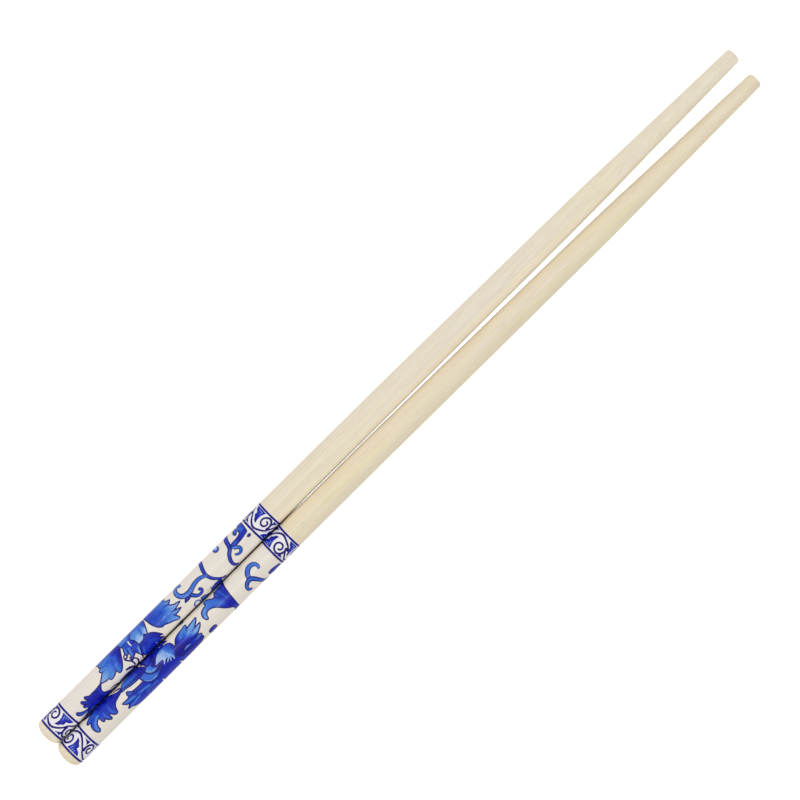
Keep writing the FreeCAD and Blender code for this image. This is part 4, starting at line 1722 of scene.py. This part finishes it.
@dataclass
class Studio:
    """Plain white floor, soft light from all round and above, and the camera.

    The floor glows for the camera alone, so that it is white and still keeps its shadow. Along
    the seam, from seam_start to seam_end, it doesn't glow, which paints a dark shadow line under
    the seam. In the gap between the shafts it glows by gap_glow, a painted light over the shadow
    there, which falls from its first value at seam_end to its second at gap_end.

    The camera looks down on the pair's middle from the distance given, and shows frame_width of
    the table. The heading is the way that the pair runs across the picture.
    """

    world_strength: float = 0.74
    world_slope: float = 0.16
    canopy: Panel = Panel("canopy", 1.7, 1.0, 0.95, 3.35)
    strip: Panel = Panel("glint_strip", 0.15, 0.09, 0.9, 0.26, (-0.1, 0.03))
    floor_size: float = 6.0
    floor_drop: float = 0.00001
    floor_colour: Colour = (0.93, 0.93, 0.93, 1.0)
    floor_glow: float = 0.42
    seam_start: float = -0.1188
    seam_end: float = -0.0405
    seam_half: float = 0.0004
    seam_fade: tuple[float, float] = (0.009, 0.002)
    gap_glow: tuple[float, float] = (1.6, 0.42)
    gap_end: float = 0.1
    gap_half: float = 0.0023
    frame_width: float = 0.19776
    distance: float = 1.3
    sensor: float = 36.0
    heading: float = math.radians(44.83)
    tilt: float = math.radians(2.0)
    middle: tuple[float, float, float] = (0.00022, 0.0, 0.0036)
    middle_right: float = 0.00037
    middle_up: float = 0.00156

    def light(self) -> None:
        """Lights the scene: a white surround, the canopy and a narrow strip for the glints."""
        world = bpy.data.worlds.new("soft_surround")
        bpy.context.scene.world = world
        world.use_nodes = True
        world.node_tree.nodes.clear()
        sheet = NodeSheet(world.node_tree)
        side = sheet.add("ShaderNodeSeparateXYZ", {
            0: sheet.add("ShaderNodeTexCoord").outputs["Generated"]}).outputs[1]
        slope = sheet.math("MULTIPLY", side, self.world_strength * self.world_slope)
        strength = sheet.math("ADD", slope, self.world_strength)
        soft = sheet.add("ShaderNodeBackground", {"Color": WHITE, "Strength": strength})
        seen = sheet.add("ShaderNodeBackground", {"Color": WHITE, "Strength": 1.0})
        path = sheet.add("ShaderNodeLightPath")
        chosen = sheet.add("ShaderNodeMixShader", {
            0: path.outputs["Is Camera Ray"], 1: soft.outputs[0], 2: seen.outputs[0]})
        sheet.add("ShaderNodeOutputWorld", {"Surface": chosen.outputs[0]})
        self.canopy.hang()
        self.strip.hang()

    def lay_floor(self) -> None:
        """Lays the white floor, which keeps the shadow, with a painted shadow line under the seam
        and painted light in the gap between the shafts.
        """
        deselect_all()
        bpy.ops.mesh.primitive_plane_add(size=self.floor_size, location=(0, 0, -self.floor_drop))
        floor = bpy.context.object
        floor.name = "floor"
        material = bpy.data.materials.new("white_floor")
        material.use_nodes = True
        material.node_tree.nodes.clear()
        sheet = NodeSheet(material.node_tree)
        matt = sheet.add("ShaderNodeBsdfDiffuse", {"Color": self.floor_colour})
        path = sheet.add("ShaderNodeLightPath")
        along, across, _ = sheet.add("ShaderNodeSeparateXYZ", {
            0: sheet.add("ShaderNodeTexCoord").outputs["Object"]}).outputs
        # No glow in a strip along the seam: a painted shadow line on the floor under the grips'
        # seam.
        aside = sheet.math("ABSOLUTE", across)
        beside = sheet.math("GREATER_THAN", aside, self.seam_half)
        before = sheet.math("LESS_THAN", along, self.seam_start)
        full, none = self.seam_fade
        beyond = sheet.fade(along, self.seam_end + full, self.seam_end + none)
        lit = sheet.math("MAXIMUM", sheet.math("MAXIMUM", beside, before), beyond)
        # More glow in the gap between the shafts: painted light that lightens the shadow there.
        near, far = self.gap_glow
        strength = sheet.add("ShaderNodeMapRange", {
            "Value": along, "From Min": self.seam_end, "From Max": self.gap_end,
            "To Min": near, "To Max": far}).outputs[0]
        between = sheet.math("MULTIPLY", sheet.math("LESS_THAN", aside, self.gap_half),
                             sheet.math("GREATER_THAN", along, self.seam_end))
        painted_gap_light = sheet.math("MULTIPLY", between, sheet.math("SUBTRACT", strength, self.floor_glow))
        glowing = sheet.math("MULTIPLY", lit, sheet.math("ADD", painted_gap_light, self.floor_glow))
        seen = sheet.math("MULTIPLY", path.outputs["Is Camera Ray"], glowing)
        glow = sheet.add("ShaderNodeEmission", {"Strength": seen})
        both = sheet.add("ShaderNodeAddShader", {0: matt.outputs[0], 1: glow.outputs[0]})
        sheet.add("ShaderNodeOutputMaterial", {"Surface": both.outputs[0]})
        floor.data.materials.append(material)

    def place_camera(self) -> None:
        """Looks down on the pair, which runs from the lower left to the upper right."""
        cosine, sine = math.cos(self.heading), math.sin(self.heading)
        right = Vector((cosine, -sine, 0))
        up = Vector((sine, cosine, 0))
        back = Vector((math.sin(self.tilt), 0, math.cos(self.tilt)))
        up = (up - back * up.dot(back)).normalized()
        right = up.cross(back)
        data = bpy.data.cameras.new("camera")
        data.sensor_width = self.sensor
        data.lens = self.sensor * self.distance / self.frame_width
        camera = bpy.data.objects.new("camera", data)
        middle = Vector(self.middle) + right * self.middle_right + up * self.middle_up
        turned = Matrix((right, up, back)).transposed().to_4x4()
        turned.translation = middle + back * self.distance
        camera.matrix_world = turned
        bpy.context.scene.collection.objects.link(camera)
        bpy.context.scene.camera = camera


def main() -> None:
    """Builds the pair and its studio, and reports each piece."""
    logging.basicConfig(level=logging.INFO, format="%(message)s")
    bpy.context.scene.view_settings.view_transform = "Standard"
    groups = SharedGroups()
    finishes = {
        Side.LEFT: BambooFinish("bamboo_left", srgb(232, 225, 207), srgb(234, 223, 192),
                                srgb(232, 216, 200)),
        Side.RIGHT: BambooFinish("bamboo_right", srgb(232, 222, 199), srgb(234, 220, 180),
                                 srgb(232, 213, 192)),
    }
    for side in Side:
        lie = Lie.read(side)
        stick = BambooStick(lie)
        stick.dress(stick.build(), finishes[side], groups)
        film = FilmFinish("film_" + side.value, finishes[side])
        sheet = PrintSheet()
        sheet.cut(draw_print(side))
        PrintedGrip(lie, sheet).build_and_dress(film, groups)
    studio = Studio()
    studio.lay_floor()
    studio.light()
    studio.place_camera()


if __name__ == "__main__":
    main()
